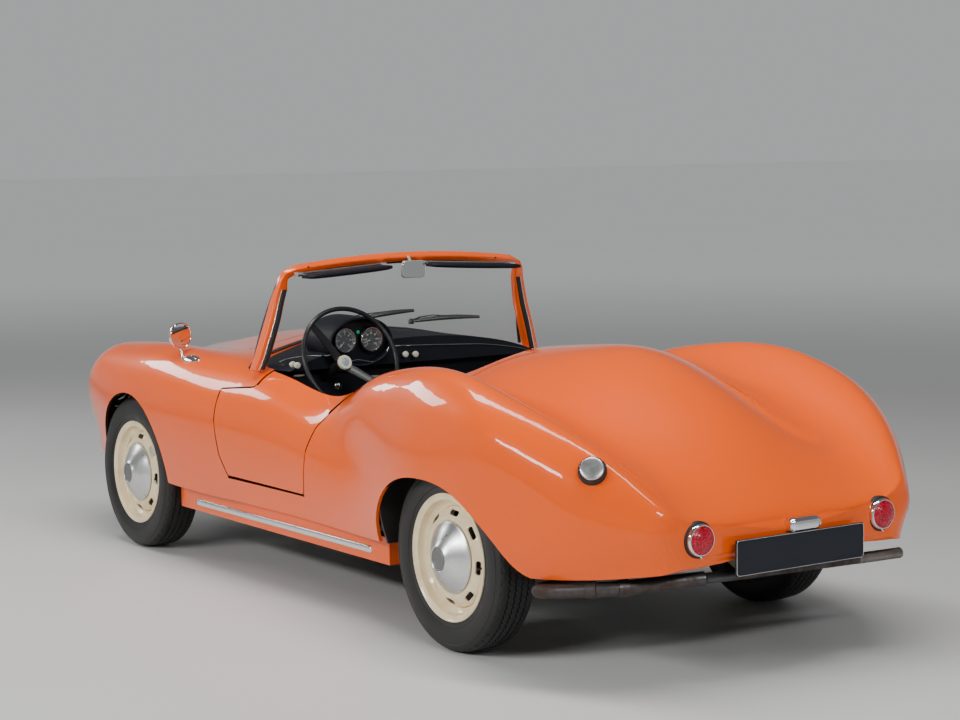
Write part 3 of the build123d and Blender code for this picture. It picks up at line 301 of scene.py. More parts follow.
def together(*shapes):
    """Several shapes as one."""
    points, faces = [], []
    for more_points, more_faces in shapes:
        base = len(points)
        points += more_points
        faces += [tuple(base + i for i in face) for face in more_faces]
    return points, faces


def mirrored(shape):
    """The same shape on the car's other side."""
    points, faces = shape
    return [Vector((p.x, -p.y, p.z)) for p in map(Vector, points)], [face[::-1] for face in faces]


def swept(path, profile, up=(0, 0, 1), closed=False, sizes=None):
    """A bar whose outline, as (sideways, upward) points, follows a path. up is one
    direction or one for each point, and sizes scale the outline along the way."""
    path = [Vector(p) for p in path]
    count, wide = len(path), len(profile)
    ups = [Vector(u) for u in up] if isinstance(up, list) else [Vector(up)] * count
    points = []
    for i, place in enumerate(path):
        before = path[i - 1] if i or closed else place
        after = path[(i + 1) % count] if i < count - 1 or closed else place
        run = (after - before).normalized()
        side = run.cross(ups[i]).normalized()
        rise = side.cross(run)
        size = sizes[i] if sizes else 1
        points += [place + (side * u + rise * v) * size for u, v in profile]
    faces = stitched(count, wide, closed)
    if not closed:
        faces += [tuple(range(wide))[::-1], tuple(range(len(points) - wide, len(points)))]
    return points, faces


def ring(radius, steps=14):
    """The outline of a round bar."""
    return [(radius * cos(2 * pi * i / steps), radius * sin(2 * pi * i / steps)) for i in range(steps)]


def soft_bar(width, height, corner, steps=3):
    """The outline of a bar with rounded edges."""
    outline = []
    for quarter, (u, v) in enumerate(((1, 1), (-1, 1), (-1, -1), (1, -1))):
        for i in range(steps + 1):
            turn = pi / 2 * (quarter + i / steps)
            middle = (u * (width / 2 - corner), v * (height / 2 - corner))
            outline.append((middle[0] + corner * cos(turn), middle[1] + corner * sin(turn)))
    return outline


scaled_steel = Finish("scaled_steel", "exhaust_steel", Metallic=0.8)
scale_cloud = scaled_steel.noise(14, detail=8, rough=0.7)
scale_tone = scale_cloud.above(0.52, 0.16)
scaled_steel.shader(Base_Color=scale_tone.mix((0.085, 0.082, 0.085), (0.075, 0.050, 0.038)))
scaled_steel.shader(Roughness=0.35 + scale_tone * 0.4)
scaled_steel.bump(scale_cloud, 0.3, 0.001)

bright_steel = Finish("bright_steel", "chrome", Metallic=1.0)
bright_blur = bright_steel.noise(30, detail=5)
bright_steel.shader(Base_Color=bright_blur.mix((0.62, 0.60, 0.57), (0.80, 0.79, 0.77)))
bright_steel.shader(Roughness=0.12 + bright_blur * 0.2)

exhaust_route = [
    (1.890, 0.150, 0.345), (1.800, 0.235, 0.330), (1.640, 0.235, 0.166), (0.470, 0.235, 0.166),
    (0.300, 0.245, 0.228), (-0.120, 0.245, 0.228), (-0.330, 0.370, 0.244), (-0.400, 0.600, 0.262),
    (-0.520, 0.728, 0.285), (-0.700, 0.565, 0.302), (-0.800, 0.300, 0.318), (-0.838, -0.478, 0.312),
]


def bent(places, reach=0.07, steps=7):
    """A pipe's line through places from the rear axle, with each bend rounded."""
    spots = [from_rear(*place) for place in places]
    line = [spots[0]]
    for before, corner, after in zip(spots, spots[1:], spots[2:]):
        start = corner + (before - corner).normalized() * min(reach, (before - corner).length * 0.45)
        end = corner + (after - corner).normalized() * min(reach, (after - corner).length * 0.45)
        for i in range(steps + 1):
            t = i / steps
            line.append(start * (1 - t) ** 2 + corner * 2 * t * (1 - t) + end * t**2)
    return line + [spots[-1]]


pipe_line = bent(exhaust_route[:-1])
silencer = [(0, 0.0226), (0.012, 0.048), (0.018, 0.052), (0.422, 0.052), (0.428, 0.048), (0.440, 0.0226)]
collar = [(-0.017, 0.0228), (-0.016, 0.0262), (0.016, 0.0262), (0.017, 0.0228)]
collars = []
for i in (-4, -9):
    collars.append(turned(collar, pipe_line[i], pipe_line[i + 1] - pipe_line[i], 32))
exhaust = mesh_piece(
    "exhaust_pipe_and_silencer",
    together(
        swept(pipe_line, ring(0.0225, 24)),
        turned(silencer, from_rear(0.940, 0.235, 0.166), (1, 0, 0), 48),
        *collars,
    ),
    scaled_steel,
    "car_body",
    smooth=50,
)
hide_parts("exhaust")
tail_line = [pipe_line[-1], from_rear(-0.812, 0.130, 0.316), from_rear(-0.832, -0.300, 0.3127)]
mesh_piece("exhaust_tail_pipe", swept(tail_line, ring(0.0172, 24)), scaled_steel, "car_body", smooth=50)
tip_start = tail_line[-1]
tip_end = from_rear(-0.840, -0.478, 0.312)
tip_long = (tip_end - tip_start).length
tip_wall = [
    (0, 0.0168), (0.002, 0.0176), (tip_long - 0.004, 0.0176), (tip_long - 0.002, 0.0182), (tip_long, 0.0174),
    (tip_long, 0.0160), (tip_long - 0.06, 0.0156), (tip_long - 0.06, 0.0),
]
tip = turned(tip_wall, tip_start, tip_end - tip_start, 40)
browned_steel = Finish("browned_steel", "exhaust_steel", Metallic=1.0)
tip_stain = browned_steel.noise(26, detail=5)
browned_steel.shader(Base_Color=tip_stain.mix((0.10, 0.085, 0.078), (0.30, 0.27, 0.25)))
browned_steel.shader(Roughness=0.24 + tip_stain * 0.2)
mesh_piece("exhaust_bright_tip", tip, browned_steel, "car_body")


# ---------------------------------------------------------------- tyres
# Bias-ply tyres in black rubber: four zigzag grooves between solid ribs, notched shoulders
# and plain polished side walls with two moulded rings. Each is fitted on its rim.
tyre_rubber = Finish("tyre_rubber", "tyre_rubber", Specular_IOR_Level=0.45)
rubber_wear = tyre_rubber.noise(18, detail=6, rough=0.6)
tyre_rubber.shader(Base_Color=rubber_wear.mix((0.009, 0.009, 0.009), (0.022, 0.021, 0.020)))
tyre_rubber.shader(Roughness=0.36 + rubber_wear * 0.3)
tyre_rubber.bump(tyre_rubber.noise(500, detail=3), 0.12, 0.0005)

tyre_low, tyre_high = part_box("rear_left_tyre")
tyre_radius = (tyre_high.z - tyre_low.z) / 2
tread_steps = 384
tread_depth, notch_depth, groove_swing = 0.007, 0.0045, 0.003
tread_edge, tread_crown = 0.0545, 0.0033
side_wall = [
    (0.0640, 0.3000), (0.0665, 0.2978), (0.0690, 0.2945), (0.0715, 0.2900), (0.0735, 0.2850),
    (0.0738, 0.2840), (0.0756, 0.2832), (0.0758, 0.2812), (0.0748, 0.2800), (0.0762, 0.2740),
    (0.0772, 0.2660), (0.0776, 0.2560), (0.0772, 0.2460), (0.0762, 0.2400), (0.0740, 0.2320),
    (0.0728, 0.2288), (0.0736, 0.2278), (0.0730, 0.2256), (0.0712, 0.2250), (0.0705, 0.2230),
    (0.0675, 0.2175), (0.0655, 0.2120), (0.0640, 0.2090), (0.0610, 0.2070), (0.0605, 0.1935),
    (0.0520, 0.1925),
]


def tyre_shape(centre, side):
    """One tyre, rolled row by row across the tread, with side 1 on the car's left."""
    rows = [[(w, r)] * tread_steps for w, r in side_wall[::-1]]
    notch = [notch_depth if i % 8 in (0, 1) else 0 for i in range(tread_steps)]
    rows.append([(0.0610, tyre_radius - 0.0062 - notch[i]) for i in range(tread_steps)])
    rows.append([(0.0585, tyre_radius - 0.0045 - notch[i]) for i in range(tread_steps)])
    rows.append([(tread_edge, tyre_radius - tread_crown)] * tread_steps)
    for groove in (0.036, 0.012, -0.012, -0.036):
        for edge, depth in ((0.0022, 0), (0.0014, tread_depth), (-0.0014, tread_depth), (-0.0022, 0)):
            row = []
            for i in range(tread_steps):
                w = groove + edge + groove_swing * (0, 1, 0, -1)[i % 4]
                row.append((w, tyre_radius - tread_crown * (w / tread_edge) ** 2 - depth))
            rows.append(row)
    rows.append([(-tread_edge, tyre_radius - tread_crown)] * tread_steps)
    rows.append([(-0.0585, tyre_radius - 0.0045 - notch[i]) for i in range(tread_steps)])
    rows.append([(-0.0610, tyre_radius - 0.0062 - notch[i]) for i in range(tread_steps)])
    rows += [[(-w, r)] * tread_steps for w, r in side_wall]
    points = []
    for row in rows:
        for i, (w, r) in enumerate(row):
            turn = 2 * pi * i / tread_steps
            points.append(Vector(centre) + Vector((-r * cos(turn), side * w, r * sin(turn))))
    return points, stitched(len(rows), tread_steps, closed=True)


corners = ("front_left", "front_right", "rear_left", "rear_right")


def wheel_place(corner):
    """A wheel's middle, and 1 on the car's left or -1 on its right."""
    low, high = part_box(f"{corner}_tyre")
    return (low + high) / 2, 1 if "left" in corner else -1


for corner in corners:
    centre, side = wheel_place(corner)
    tyre = mesh_piece(
        f"{corner}_treaded_tyre", tyre_shape(centre, side), tyre_rubber, f"{corner}_road_wheel", smooth=38,
    )
    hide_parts(f"{corner}_tyre")


# ---------------------------------------------------------------- wheels and hub caps
# Pressed steel wheels in cream enamel: a rolled rim welded to a coned disc with eight
# slots. A spun aluminium cap snaps on the disc, and a rubber valve stands beside it.
wheel_cream = Finish("wheel_cream", "wheel_cream", Coat_Weight=0.7, Coat_Roughness=0.06)
cream_dust = wheel_cream.noise(16, detail=6, rough=0.6).above(0.55, 0.22)
wheel_cream.shader(Base_Color=cream_dust.mix((0.95, 0.80, 0.52), (0.80, 0.64, 0.38)))
wheel_cream.shader(Roughness=0.32 + cream_dust * 0.25)
wheel_cream.bump(wheel_cream.noise(300), 0.06, 0.0004)

rim_section = [
    (0.0655, 0.2095), (0.0685, 0.2080), (0.0690, 0.2050), (0.0670, 0.2020), (0.0640, 0.1985),
    (0.0625, 0.1930), (0.0610, 0.1880), (0.0500, 0.1860), (0.0420, 0.1840), (0.0330, 0.1760),
    (0.0280, 0.1660), (0.0180, 0.1630), (-0.0180, 0.1630), (-0.0280, 0.1660), (-0.0420, 0.1840),
    (-0.0610, 0.1880), (-0.0640, 0.1985), (-0.0690, 0.2050), (-0.0655, 0.2095), (-0.0600, 0.2060),
    (-0.0600, 0.1915), (-0.0450, 0.1885), (-0.0300, 0.1705), (0.0300, 0.1705), (0.0450, 0.1885),
    (0.0600, 0.1915), (0.0600, 0.2060), (0.0655, 0.2095),
]
disc_section = [
    (0.0180, 0.1640), (0.0300, 0.1640), (0.0370, 0.1615), (0.0425, 0.1560), (0.0475, 0.1500),
    (0.0515, 0.1430), (0.0545, 0.1360), (0.0565, 0.1310), (0.0568, 0.1275), (0.0550, 0.1230),
    (0.0515, 0.1180), (0.0500, 0.1120), (0.0500, 0.0200), (0.0460, 0.0200), (0.0460, 0.1100),
    (0.0480, 0.1190), (0.0515, 0.1245), (0.0530, 0.1285), (0.0520, 0.1320), (0.0480, 0.1400),
    (0.0440, 0.1470), (0.0395, 0.1530), (0.0340, 0.1580), (0.0290, 0.1600), (0.0180, 0.1605),
    (0.0180, 0.1640),
]
slot_radius, slot_long, slot_wide = 0.1465, 0.047, 0.017
slot_turns = [radians(-5.5 + 45 * k) for k in range(8)]
cap_section = [
    (0.0510, 0.1140), (0.0540, 0.1165), (0.0565, 0.1172), (0.0585, 0.1165), (0.0598, 0.1140),
    (0.0640, 0.1085), (0.0700, 0.1000), (0.0765, 0.0900), (0.0828, 0.0795), (0.0885, 0.0695),
    (0.0935, 0.0600), (0.0980, 0.0520), (0.1015, 0.0465), (0.1040, 0.0435), (0.1050, 0.0420),
    (0.1046, 0.0405), (0.1034, 0.0395),
]
cap_middle = [
    (0.1034, 0.0395), (0.1030, 0.0380), (0.1038, 0.0365), (0.1038, 0.0345), (0.1026, 0.0330),
    (0.1026, 0.0305), (0.1036, 0.0290), (0.1036, 0.0265), (0.1028, 0.0250), (0.1028, 0.0060),
    (0.1032, 0.0),
]

spun_aluminium = Finish("spun_aluminium", "satin_aluminium", Metallic=1.0)
spun_blur = spun_aluminium.noise(45, detail=5)
spun_aluminium.shader(Base_Color=spun_blur.mix((0.60, 0.61, 0.61), (0.74, 0.75, 0.74)))
spun_aluminium.shader(Roughness=0.22 + spun_blur * 0.16)
spun_aluminium.bump(spun_aluminium.noise(380, detail=2), 0.08, 0.0003)
cap_grey = Finish("cap_grey", "satin_aluminium", Metallic=0.7)
cap_grey.shader(Base_Color=cap_grey.noise(70).mix((0.16, 0.165, 0.165), (0.24, 0.245, 0.24)), Roughness=0.4)


def cut_from(piece, cutter):
    """Cuts one mesh away from another for good."""
    tool = piece.modifiers.new("cut", "BOOLEAN")
    tool.operation = "DIFFERENCE"
    tool.solver = "EXACT"
    tool.object = cutter
    shown = bpy.context.evaluated_depsgraph_get()
    cut = bpy.data.meshes.new_from_object(piece.evaluated_get(shown))
    piece.modifiers.clear()
    piece.data = cut
    piece.data.shade_smooth()
    piece.data.set_sharp_from_angle(angle=radians(35))
    bpy.data.objects.remove(cutter)


def slot_cutters(centre, side):
    """Rounded bars that stand through the disc where its slots are."""
    bars = []
    for turn in slot_turns:
        outward = Vector((-cos(turn), 0, sin(turn)))
        spot = Vector(centre) + outward * slot_radius
        path = [spot + Vector((0, side * 0.020, 0)), spot + Vector((0, side * 0.080, 0))]
        bars.append(
            swept(
                path,
                soft_bar(slot_wide, slot_long, slot_wide / 2 - 0.0005, 6),
                up=Vector((0, side, 0)).cross(outward),
            )
        )
    return together(*bars)


valve_turn, valve_reach, valve_depth = radians(-4), 0.1725, 0.0300
valve = [
    (0, 0.0055), (0.006, 0.0048), (0.02, 0.0036), (0.030, 0.0036), (0.0305, 0.0044),
    (0.036, 0.0042), (0.037, 0),
]
for corner in corners:
    centre, side = wheel_place(corner)
    body = f"{corner}_road_wheel"
    axis = (0, side, 0)
    disc = mesh_piece(
        f"{corner}_wheel_disc", turned(disc_section, centre, axis, 96), wheel_cream, body, smooth=35,
    )
    cut_from(disc, mesh_piece("slot_cutter", slot_cutters(centre, side), wheel_cream))
    rim = mesh_piece(
        f"{corner}_wheel_rim", turned(rim_section, centre, axis, 128), wheel_cream, body, smooth=35,
    )
    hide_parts(f"{corner}_wheel")
    mesh_piece(f"{corner}_hub_cap", turned(cap_section, centre, axis, 96), spun_aluminium, body)
    mesh_piece(f"{corner}_hub_cap_middle", turned(cap_middle, centre, axis, 64), cap_grey, body, smooth=25)
    outward = Vector((-cos(valve_turn), 0, sin(valve_turn)))
    valve_foot = centre + outward * valve_reach + Vector((0, side * valve_depth, 0))
    mesh_piece(f"{corner}_tyre_valve", turned(valve, valve_foot, (0.25, side, 0), 16), tyre_rubber, body)


# ---------------------------------------------------------------- painted body panels
# Pressed steel panels in deep orange enamel under a clear gloss. Faces towards the inside turn
# dark: black underseal in the wheel arches, painted shade in the door gaps and other hollows.
body_paint = Finish("body_paint", "paint", Coat_Roughness=0.02, Coat_IOR=1.38, Specular_IOR_Level=0.08)
paint_drift = body_paint.noise(1.1, detail=2)
enamel = paint_drift.mix((0.90, 0.100, 0.001), (0.93, 0.113, 0.001))
paint_normal = body_paint.place("Normal")
sideways = body_paint.along(1, paint_normal) * body_paint.along(1)
upward = body_paint.along(2, paint_normal) * (body_paint.along(2) - 0.46) * 2.5
lengthways = body_paint.along(0, paint_normal) * body_paint.along(0) * 0.18
# Inward faces get a dark rough finish: underseal in the arches, painted shade in gaps and hollows.
shown = (sideways + upward + lengthways).above(-0.03, 0.02)
body_paint.shader(Base_Color=shown.mix((0.030, 0.010, 0.005), enamel))
body_paint.shader(Roughness=0.75 - shown * 0.45, Coat_Weight=shown)
body_paint.bump(body_paint.noise(700, detail=1), 0.04, 0.0004)
refinish(body_paint, "front_body", "rear_body", "bonnet", "left_door", "right_door", "sills")

frame_paint = Finish("frame_paint", "paint", Coat_Weight=0.9, Coat_Roughness=0.03, Roughness=0.3)
frame_paint.shader(Base_Color=frame_paint.noise(1.4).mix((0.90, 0.100, 0.001), (0.93, 0.113, 0.001)))
frame_paint.bump(frame_paint.noise(700, detail=1), 0.04, 0.0004)

moulded_rubber = Finish("moulded_rubber", "black_rubber", Specular_IOR_Level=0.4)
rubber_cloud = moulded_rubber.noise(60, detail=4)
moulded_rubber.shader(Base_Color=rubber_cloud.mix((0.010, 0.010, 0.011), (0.024, 0.024, 0.025)))
moulded_rubber.shader(Roughness=0.45 + rubber_cloud * 0.25)
moulded_rubber.bump(rubber_cloud, 0.1, 0.0004)


# ---------------------------------------------------------------- sill mouldings
# A polished aluminium strip with a shallow crown and rounded ends is clipped along each
# sill, under the door and out to the wheels.
polished_strip = Finish("polished_aluminium", "satin_aluminium", Metallic=1.0)
brushing = polished_strip.node("Mapping", {"Vector": polished_strip.place(), "Scale": (6, 900, 900)})
brushed = polished_strip.noise(1, detail=3, where=brushing)
polished_strip.shader(Base_Color=brushed.mix((0.78, 0.78, 0.78), (0.90, 0.90, 0.90)))
polished_strip.shader(Roughness=0.16 + brushed * 0.16)

strip_length = 1.319
strip_steps = 40
strip_path, strip_sizes = [], []
for i in range(strip_steps + 1):
    share = i / strip_steps
    x = share - sin(2 * pi * share) / (2 * pi)
    strip_path.append(from_rear(0.557 + strip_length * x, 0.6455, 0.246 - 0.004 * x))
    end = min(x, 1 - x) * strip_length / 0.014
    strip_sizes.append(sqrt(max(1 - (1 - min(end, 1)) ** 2, 0.04)))
strip_crown = [
    (-0.003, -0.0125), (0.003, -0.0125), (0.0052, -0.009), (0.0062, 0), (0.0052, 0.009),
    (0.003, 0.0125), (-0.003, 0.0125),
]
left_strip = swept(strip_path, [(-u, v) for u, v in strip_crown], sizes=strip_sizes)
mesh_piece("left_sill_strip", left_strip, polished_strip, "car_body", smooth=60)
mesh_piece("right_sill_strip", mirrored(left_strip), polished_strip, "car_body", smooth=60)


# ---------------------------------------------------------------- windscreen
# One wrapped pane of clear laminated glass sits in a painted steel frame. A black rubber
# seal holds it, and the pillars carry a rubber channel with a bright bead for side curtains.
screen_glass = Finish("screen_glass", "clear_glass", Roughness=0.02, IOR=1.5, Specular_IOR_Level=0.5)
screen_glass.shader(Base_Color=(0.42, 0.47, 0.46), Alpha=0.07 + screen_glass.noise(3) * 0.02)
refinish(screen_glass, "windscreen_glass")


def screen_x(y, z):
    """The glass's outer face: raked 45 degrees at the middle and wrapped at its sides."""
    drop = 1.216 - z
    wrap = 0.05 + 1.18 * drop
    return 1.337 + 0.99 * drop - wrap * (1 - sqrt(1 - (y / 0.7) ** 2))


def screen_spot(y, z, depth):
    """A place so far behind the glass's outer face, with the direction out of the face."""
    step = 0.001
    lean_y = (screen_x(y + step, z) - screen_x(y - step, z)) / (2 * step)
    lean_z = (screen_x(y, z + step) - screen_x(y, z - step)) / (2 * step)
    out = Vector((1, -lean_y, -lean_z)).normalized()
    return from_rear(screen_x(y, z), y, z) - out * depth, out


def screen_edge(inset, low):
    """The left half of the frame's outline moved in by inset, as (y, z) from the header's
    middle down to a height."""
    half = []
    bow, sag = 0.562, 0.041
    radius = (bow**2 + sag**2) / (2 * sag)
    slope = Vector((0.106, -0.479)).normalized()
    corner = Vector((bow, 1.179))
    for i in range(25):
        turn = (bow - 0.07) * i / 24
        half.append(Vector((turn, 1.220 - radius + sqrt(radius**2 - turn**2))))
    before, after = half[-1], corner + slope * 0.07
    for i in range(1, 9):
        t = i / 8
        half.append(before * (1 - t) ** 2 + corner * 2 * t * (1 - t) + after * t**2)
    for i in range(1, 17):
        half.append(after + slope * (0.42 * i / 16))
    moved = []
    for i, spot in enumerate(half):
        run = half[min(i + 1, len(half) - 1)] - half[max(i - 1, 0)]
        run.normalize()
        inner = spot + Vector((run.y, -run.x)) * inset
        if i == 0:
            inner.x = 0
        if inner.y > low:
            moved.append((inner.x, inner.y))
    return moved


def screen_strip(name, inset, depth, thick, low):
    """A rubber strip that follows the frame from one side to the other above a height."""
    edge = screen_edge(inset, low)
    edge = edge[::-1] + [(-y, z) for y, z in edge[1:]]
    spots = [screen_spot(y, z, depth) for y, z in edge]
    profile = soft_bar(0.012, thick, 0.003)
    shape = swept([spot for spot, out in spots], profile, up=[out for spot, out in spots])
    mesh_piece(name, shape, moulded_rubber, "car_body", smooth=50)


screen_strip("screen_edge_rubber", 0.0205, 0.0125, 0.011, 0.80)
screen_strip("screen_header_rubber", 0.030, 0.014, 0.010, 1.165)

frame_stations = []
for x, y, z, wide, deep in (
    (1.369, 0.6500, 0.802, 0.050, 0.040), (1.360, 0.6340, 0.845, 0.050, 0.044),
    (1.352, 0.6100, 0.920, 0.049, 0.046), (1.349, 0.5880, 0.990, 0.048, 0.044),
    (1.345, 0.5730, 1.050, 0.046, 0.038), (1.339, 0.5600, 1.097, 0.044, 0.033),
):
    frame_stations.append((from_rear(x, y, z), Vector((0, -1, 0)), Vector((1, 0, 0)), wide, deep))
for x, y, z, tip in ((1.328, 0.5500, 1.135, 0.3), (1.320, 0.5330, 1.160, 0.65)):
    inward = Vector((0.5 * tip, tip - 1, -0.8 * tip)).normalized()
    frame_stations.append((from_rear(x, y, z), inward, Vector((1, 0, 0.5 * tip)).normalized(), 0.036, 0.031))
for y, z in screen_edge(0.0, 1.17)[::-1]:
    if y < 0.505:
        spot, out = screen_spot(y, z, 0.030)
        frame_stations.append((spot, out.cross(Vector((0, -1, 0))).normalized(), out, 0.027, 0.030))


def frame_bar(stations, low, high, back, front, corner):
    """A bar along the frame, between two shares of its width and two shares of its depth."""
    points = []
    for place, inward, ahead, wide, deep in stations:
        across, through = wide * (high - low), deep * (front - back)
        middle = place + inward * (wide * (low + high) / 2) + ahead * (deep * (back + front) / 2)
        points += [middle + inward * u + ahead * v for u, v in soft_bar(across, through, corner, 3)]
    wide = len(points) // len(stations)
    ends = [tuple(range(wide)), tuple(range(len(points) - wide, len(points)))]
    return points, ends + stitched(len(stations), wide)


half_frame = frame_bar(frame_stations, 0, 1, 0, 1, 0.006)
painted_frame = mesh_piece(
    "windscreen_painted_frame",
    together(half_frame, mirrored(half_frame)),
    frame_paint,
    "car_body",
    smooth=50,
)
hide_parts("windscreen_frame")
pillar = frame_stations[:6]
pillar_seal = frame_bar(pillar, 0.50, 0.86, -0.16, 0.3, 0.003)
mesh_piece(
    "pillar_rubber", together(pillar_seal, mirrored(pillar_seal)), moulded_rubber, "car_body", smooth=50,
)
bead = frame_bar(pillar, 0.36, 0.50, -0.10, 0.3, 0.002)
mesh_piece("pillar_bead", together(bead, mirrored(bead)), bright_steel, "car_body", smooth=50)

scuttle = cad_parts["front_body"]
base_line = []
for i in range(-32, 33):
    y = 0.604 * i / 32
    z = 0.86
    for _ in range(6):
        above = from_rear(screen_x(y, z) - 0.010, y, 1.1)
        hit, spot, _, _ = scuttle.ray_cast(above, (0, 0, -1))
        z = spot.z if hit else z
    base_line.append(Vector((above.x, y, z + 0.002)))
mesh_piece(
    "screen_base_rubber",
    swept(base_line, soft_bar(0.026, 0.016, 0.007, 4)),
    moulded_rubber,
    "car_body",
    smooth=60,
)

screws = []
for y in (0.442, -0.411):
    spot, out = screen_spot(y, 1.197, 0.0302)
    screws.append(turned([(0, 0.0045), (0.0012, 0.004), (0.0018, 0.0022), (0.0018, 0)], spot, -out, 16))
mesh_piece("header_screws", together(*screws), moulded_rubber, "car_body")


# ---------------------------------------------------------------- sun visors
# Two padded boards in black vinyl are swung up behind the header, each on a bright rod
# between two grey brackets.
grained_vinyl = Finish("grained_vinyl", "black_trim", Specular_IOR_Level=0.25)
vinyl_grain = grained_vinyl.cells(420, feature="DISTANCE_TO_EDGE")
vinyl_wear = grained_vinyl.noise(7, detail=5)
grained_vinyl.shader(Base_Color=vinyl_wear.mix((0.004, 0.005, 0.009), (0.010, 0.011, 0.017)))
grained_vinyl.shader(Roughness=0.38 + vinyl_wear * 0.25)
grained_vinyl.bump(vinyl_grain, 0.3, 0.0012)

boards, rods, clips = [], [], []
for inner, outer in ((-0.055, -0.455), (0.120, 0.505)):
    path, sizes = [], []
    for i in range(25):
        share = (1 - cos(pi * i / 24)) / 2
        path.append(
            from_rear(1.256 - 0.030 * share**2, inner + (outer - inner) * share, 1.168 - 0.020 * share)
        )
        sizes.append(max((4 * share * (1 - share)) ** 0.16, 0.3) if 0 < i < 24 else 0.55)
    boards.append(swept(path, soft_bar(0.078, 0.021, 0.010, 4), sizes=sizes))
    bar = [path[1] + Vector((0.045, 0, 0.011)), path[-2] + Vector((0.045, 0, 0.011))]
    rods.append(swept(bar, ring(0.004, 10)))
    for end in (1, -2):
        spot = path[end] + Vector((0.052, 0, 0.008))
        clips.append(
            swept(
                [spot - Vector((0, 0.011, 0)), spot + Vector((0, 0.011, 0))], soft_bar(0.03, 0.016, 0.004),
            )
        )
visors = mesh_piece("sun_visor_boards", together(*boards), grained_vinyl, "car_body", smooth=60)
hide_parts("sun_visors")
mesh_piece("sun_visor_rods", together(*rods), bright_steel, "car_body")
mesh_piece("sun_visor_brackets", together(*clips), polished_strip, "car_body")


# ---------------------------------------------------------------- interior mirror
# A rounded silvered glass in a thin grey shell hangs from the header on a short stalk.
silvered = Finish("silvered_glass", "mirror_face", Metallic=1.0, Base_Color=(0.86, 0.88, 0.88))
silvered.shader(Roughness=0.03 + silvered.noise(8) * 0.02)
grey_shell = Finish("grey_shell", "mirror_face", Base_Color=(0.30, 0.31, 0.32))
grey_shell.shader(Roughness=0.35 + grey_shell.noise(20) * 0.1)


def rounded_plate(middle, facing, width, height, corner, layers):
    """A plate of rounded rectangles, one for each (distance, shrink) along its facing."""
    facing = Vector(facing).normalized()
    side = Vector((0, 0, 1)).cross(facing).normalized()
    rise = facing.cross(side)
    points = []
    for distance, shrink in layers:
        outline = soft_bar(width - 2 * shrink, height - 2 * shrink, corner - shrink * 0.6, 6)
        points += [Vector(middle) + facing * distance + side * u + rise * v for u, v in outline]
    wide = len(points) // len(layers)
    ends = [tuple(range(wide))[::-1], tuple(range(len(points) - wide, len(points)))]
    return points, stitched(len(layers), wide) + ends


mirror_middle = from_rear(1.283, 0, 1.153)
mirror_facing = (-1, 0.10, -0.03)
shell_layers = [(-0.012, 0.012), (-0.009, 0.004), (-0.002, 0), (0.005, 0), (0.0065, 0.0012)]
inner_mirror = mesh_piece(
    "interior_mirror_shell",
    together(
        rounded_plate(mirror_middle, mirror_facing, 0.098, 0.066, 0.014, shell_layers),
        swept(
            [from_rear(1.29, 0, 1.165), from_rear(1.305, 0, 1.19), from_rear(1.318, 0, 1.2)],
            ring(0.0055, 12),
        ),
    ),
    grey_shell,
    "car_body",
)
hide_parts("interior_mirror")
mirror_layers = [(0.0066, 0.003), (0.0074, 0.0036)]
mirror_pane = rounded_plate(mirror_middle, mirror_facing, 0.098, 0.066, 0.014, mirror_layers)
mesh_piece("interior_mirror_glass", mirror_pane, silvered, "car_body", smooth=20)


# ---------------------------------------------------------------- wipers
# Black sprung arms swing on domed spindles, and each presses a folded rubber blade on the
# glass. They are parked along its foot.
satin_black = Finish("satin_black", "black_plastic", Specular_IOR_Level=0.5)
satin_cloud = satin_black.noise(40, detail=4)
satin_black.shader(Base_Color=satin_cloud.mix((0.010, 0.010, 0.011), (0.022, 0.022, 0.023)))
satin_black.shader(Roughness=0.3 + satin_cloud * 0.15)

wiper_parts = []
for spindle_y, near, far in (
    (0.190, (0.045, 0.936), (-0.190, 0.962)), (-0.230, (-0.215, 0.915), (-0.470, 0.925)),
):
    blade = []
    for i in range(13):
        share = i / 12
        y = near[0] + (far[0] - near[0]) * share
        z = near[1] + (far[1] - near[1]) * share + 0.006 * sin(pi * share)
        blade.append(screen_spot(y, z, -0.007))
    path = [spot for spot, out in blade]
    thick = [0.45 + 0.55 * sin(pi * (0.08 + 0.84 * i / 12)) for i in range(13)]
    wiper_parts.append(
        swept(path, soft_bar(0.014, 0.019, 0.004), up=[out for spot, out in blade], sizes=thick)
    )
    foot = from_rear(screen_x(spindle_y, 0.905) + 0.042, spindle_y, 0.905)
    wiper_parts.append(turned([(0, 0.011), (0.012, 0.011), (0.02, 0.008), (0.023, 0)], foot, (0, 0, 1), 24))
    grip, out = screen_spot((near[0] + far[0]) / 2, (near[1] + far[1]) / 2 + 0.006, -0.018)
    knee = foot + Vector((-0.005, 0, 0.02)) + (grip - foot) * 0.25
    arm = [foot + Vector((0, 0, 0.014)), knee, foot + (grip - foot) * 0.65 + Vector((0.004, 0, 0.014)), grip]
    wiper_parts.append(swept(arm, soft_bar(0.011, 0.006, 0.002), sizes=[1.2, 1.1, 0.75, 0.5]))
wipers = mesh_piece("wiper_arms_and_blades", together(*wiper_parts), satin_black, "car_body")
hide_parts("wipers")


# ---------------------------------------------------------------- dashboard
# The dashboard is covered in black grained vinyl. A thin bright moulding runs along it and
# dips under the two dials, and cream knobs and small levers stand on its lower panel.
refinish(grained_vinyl, "dashboard")

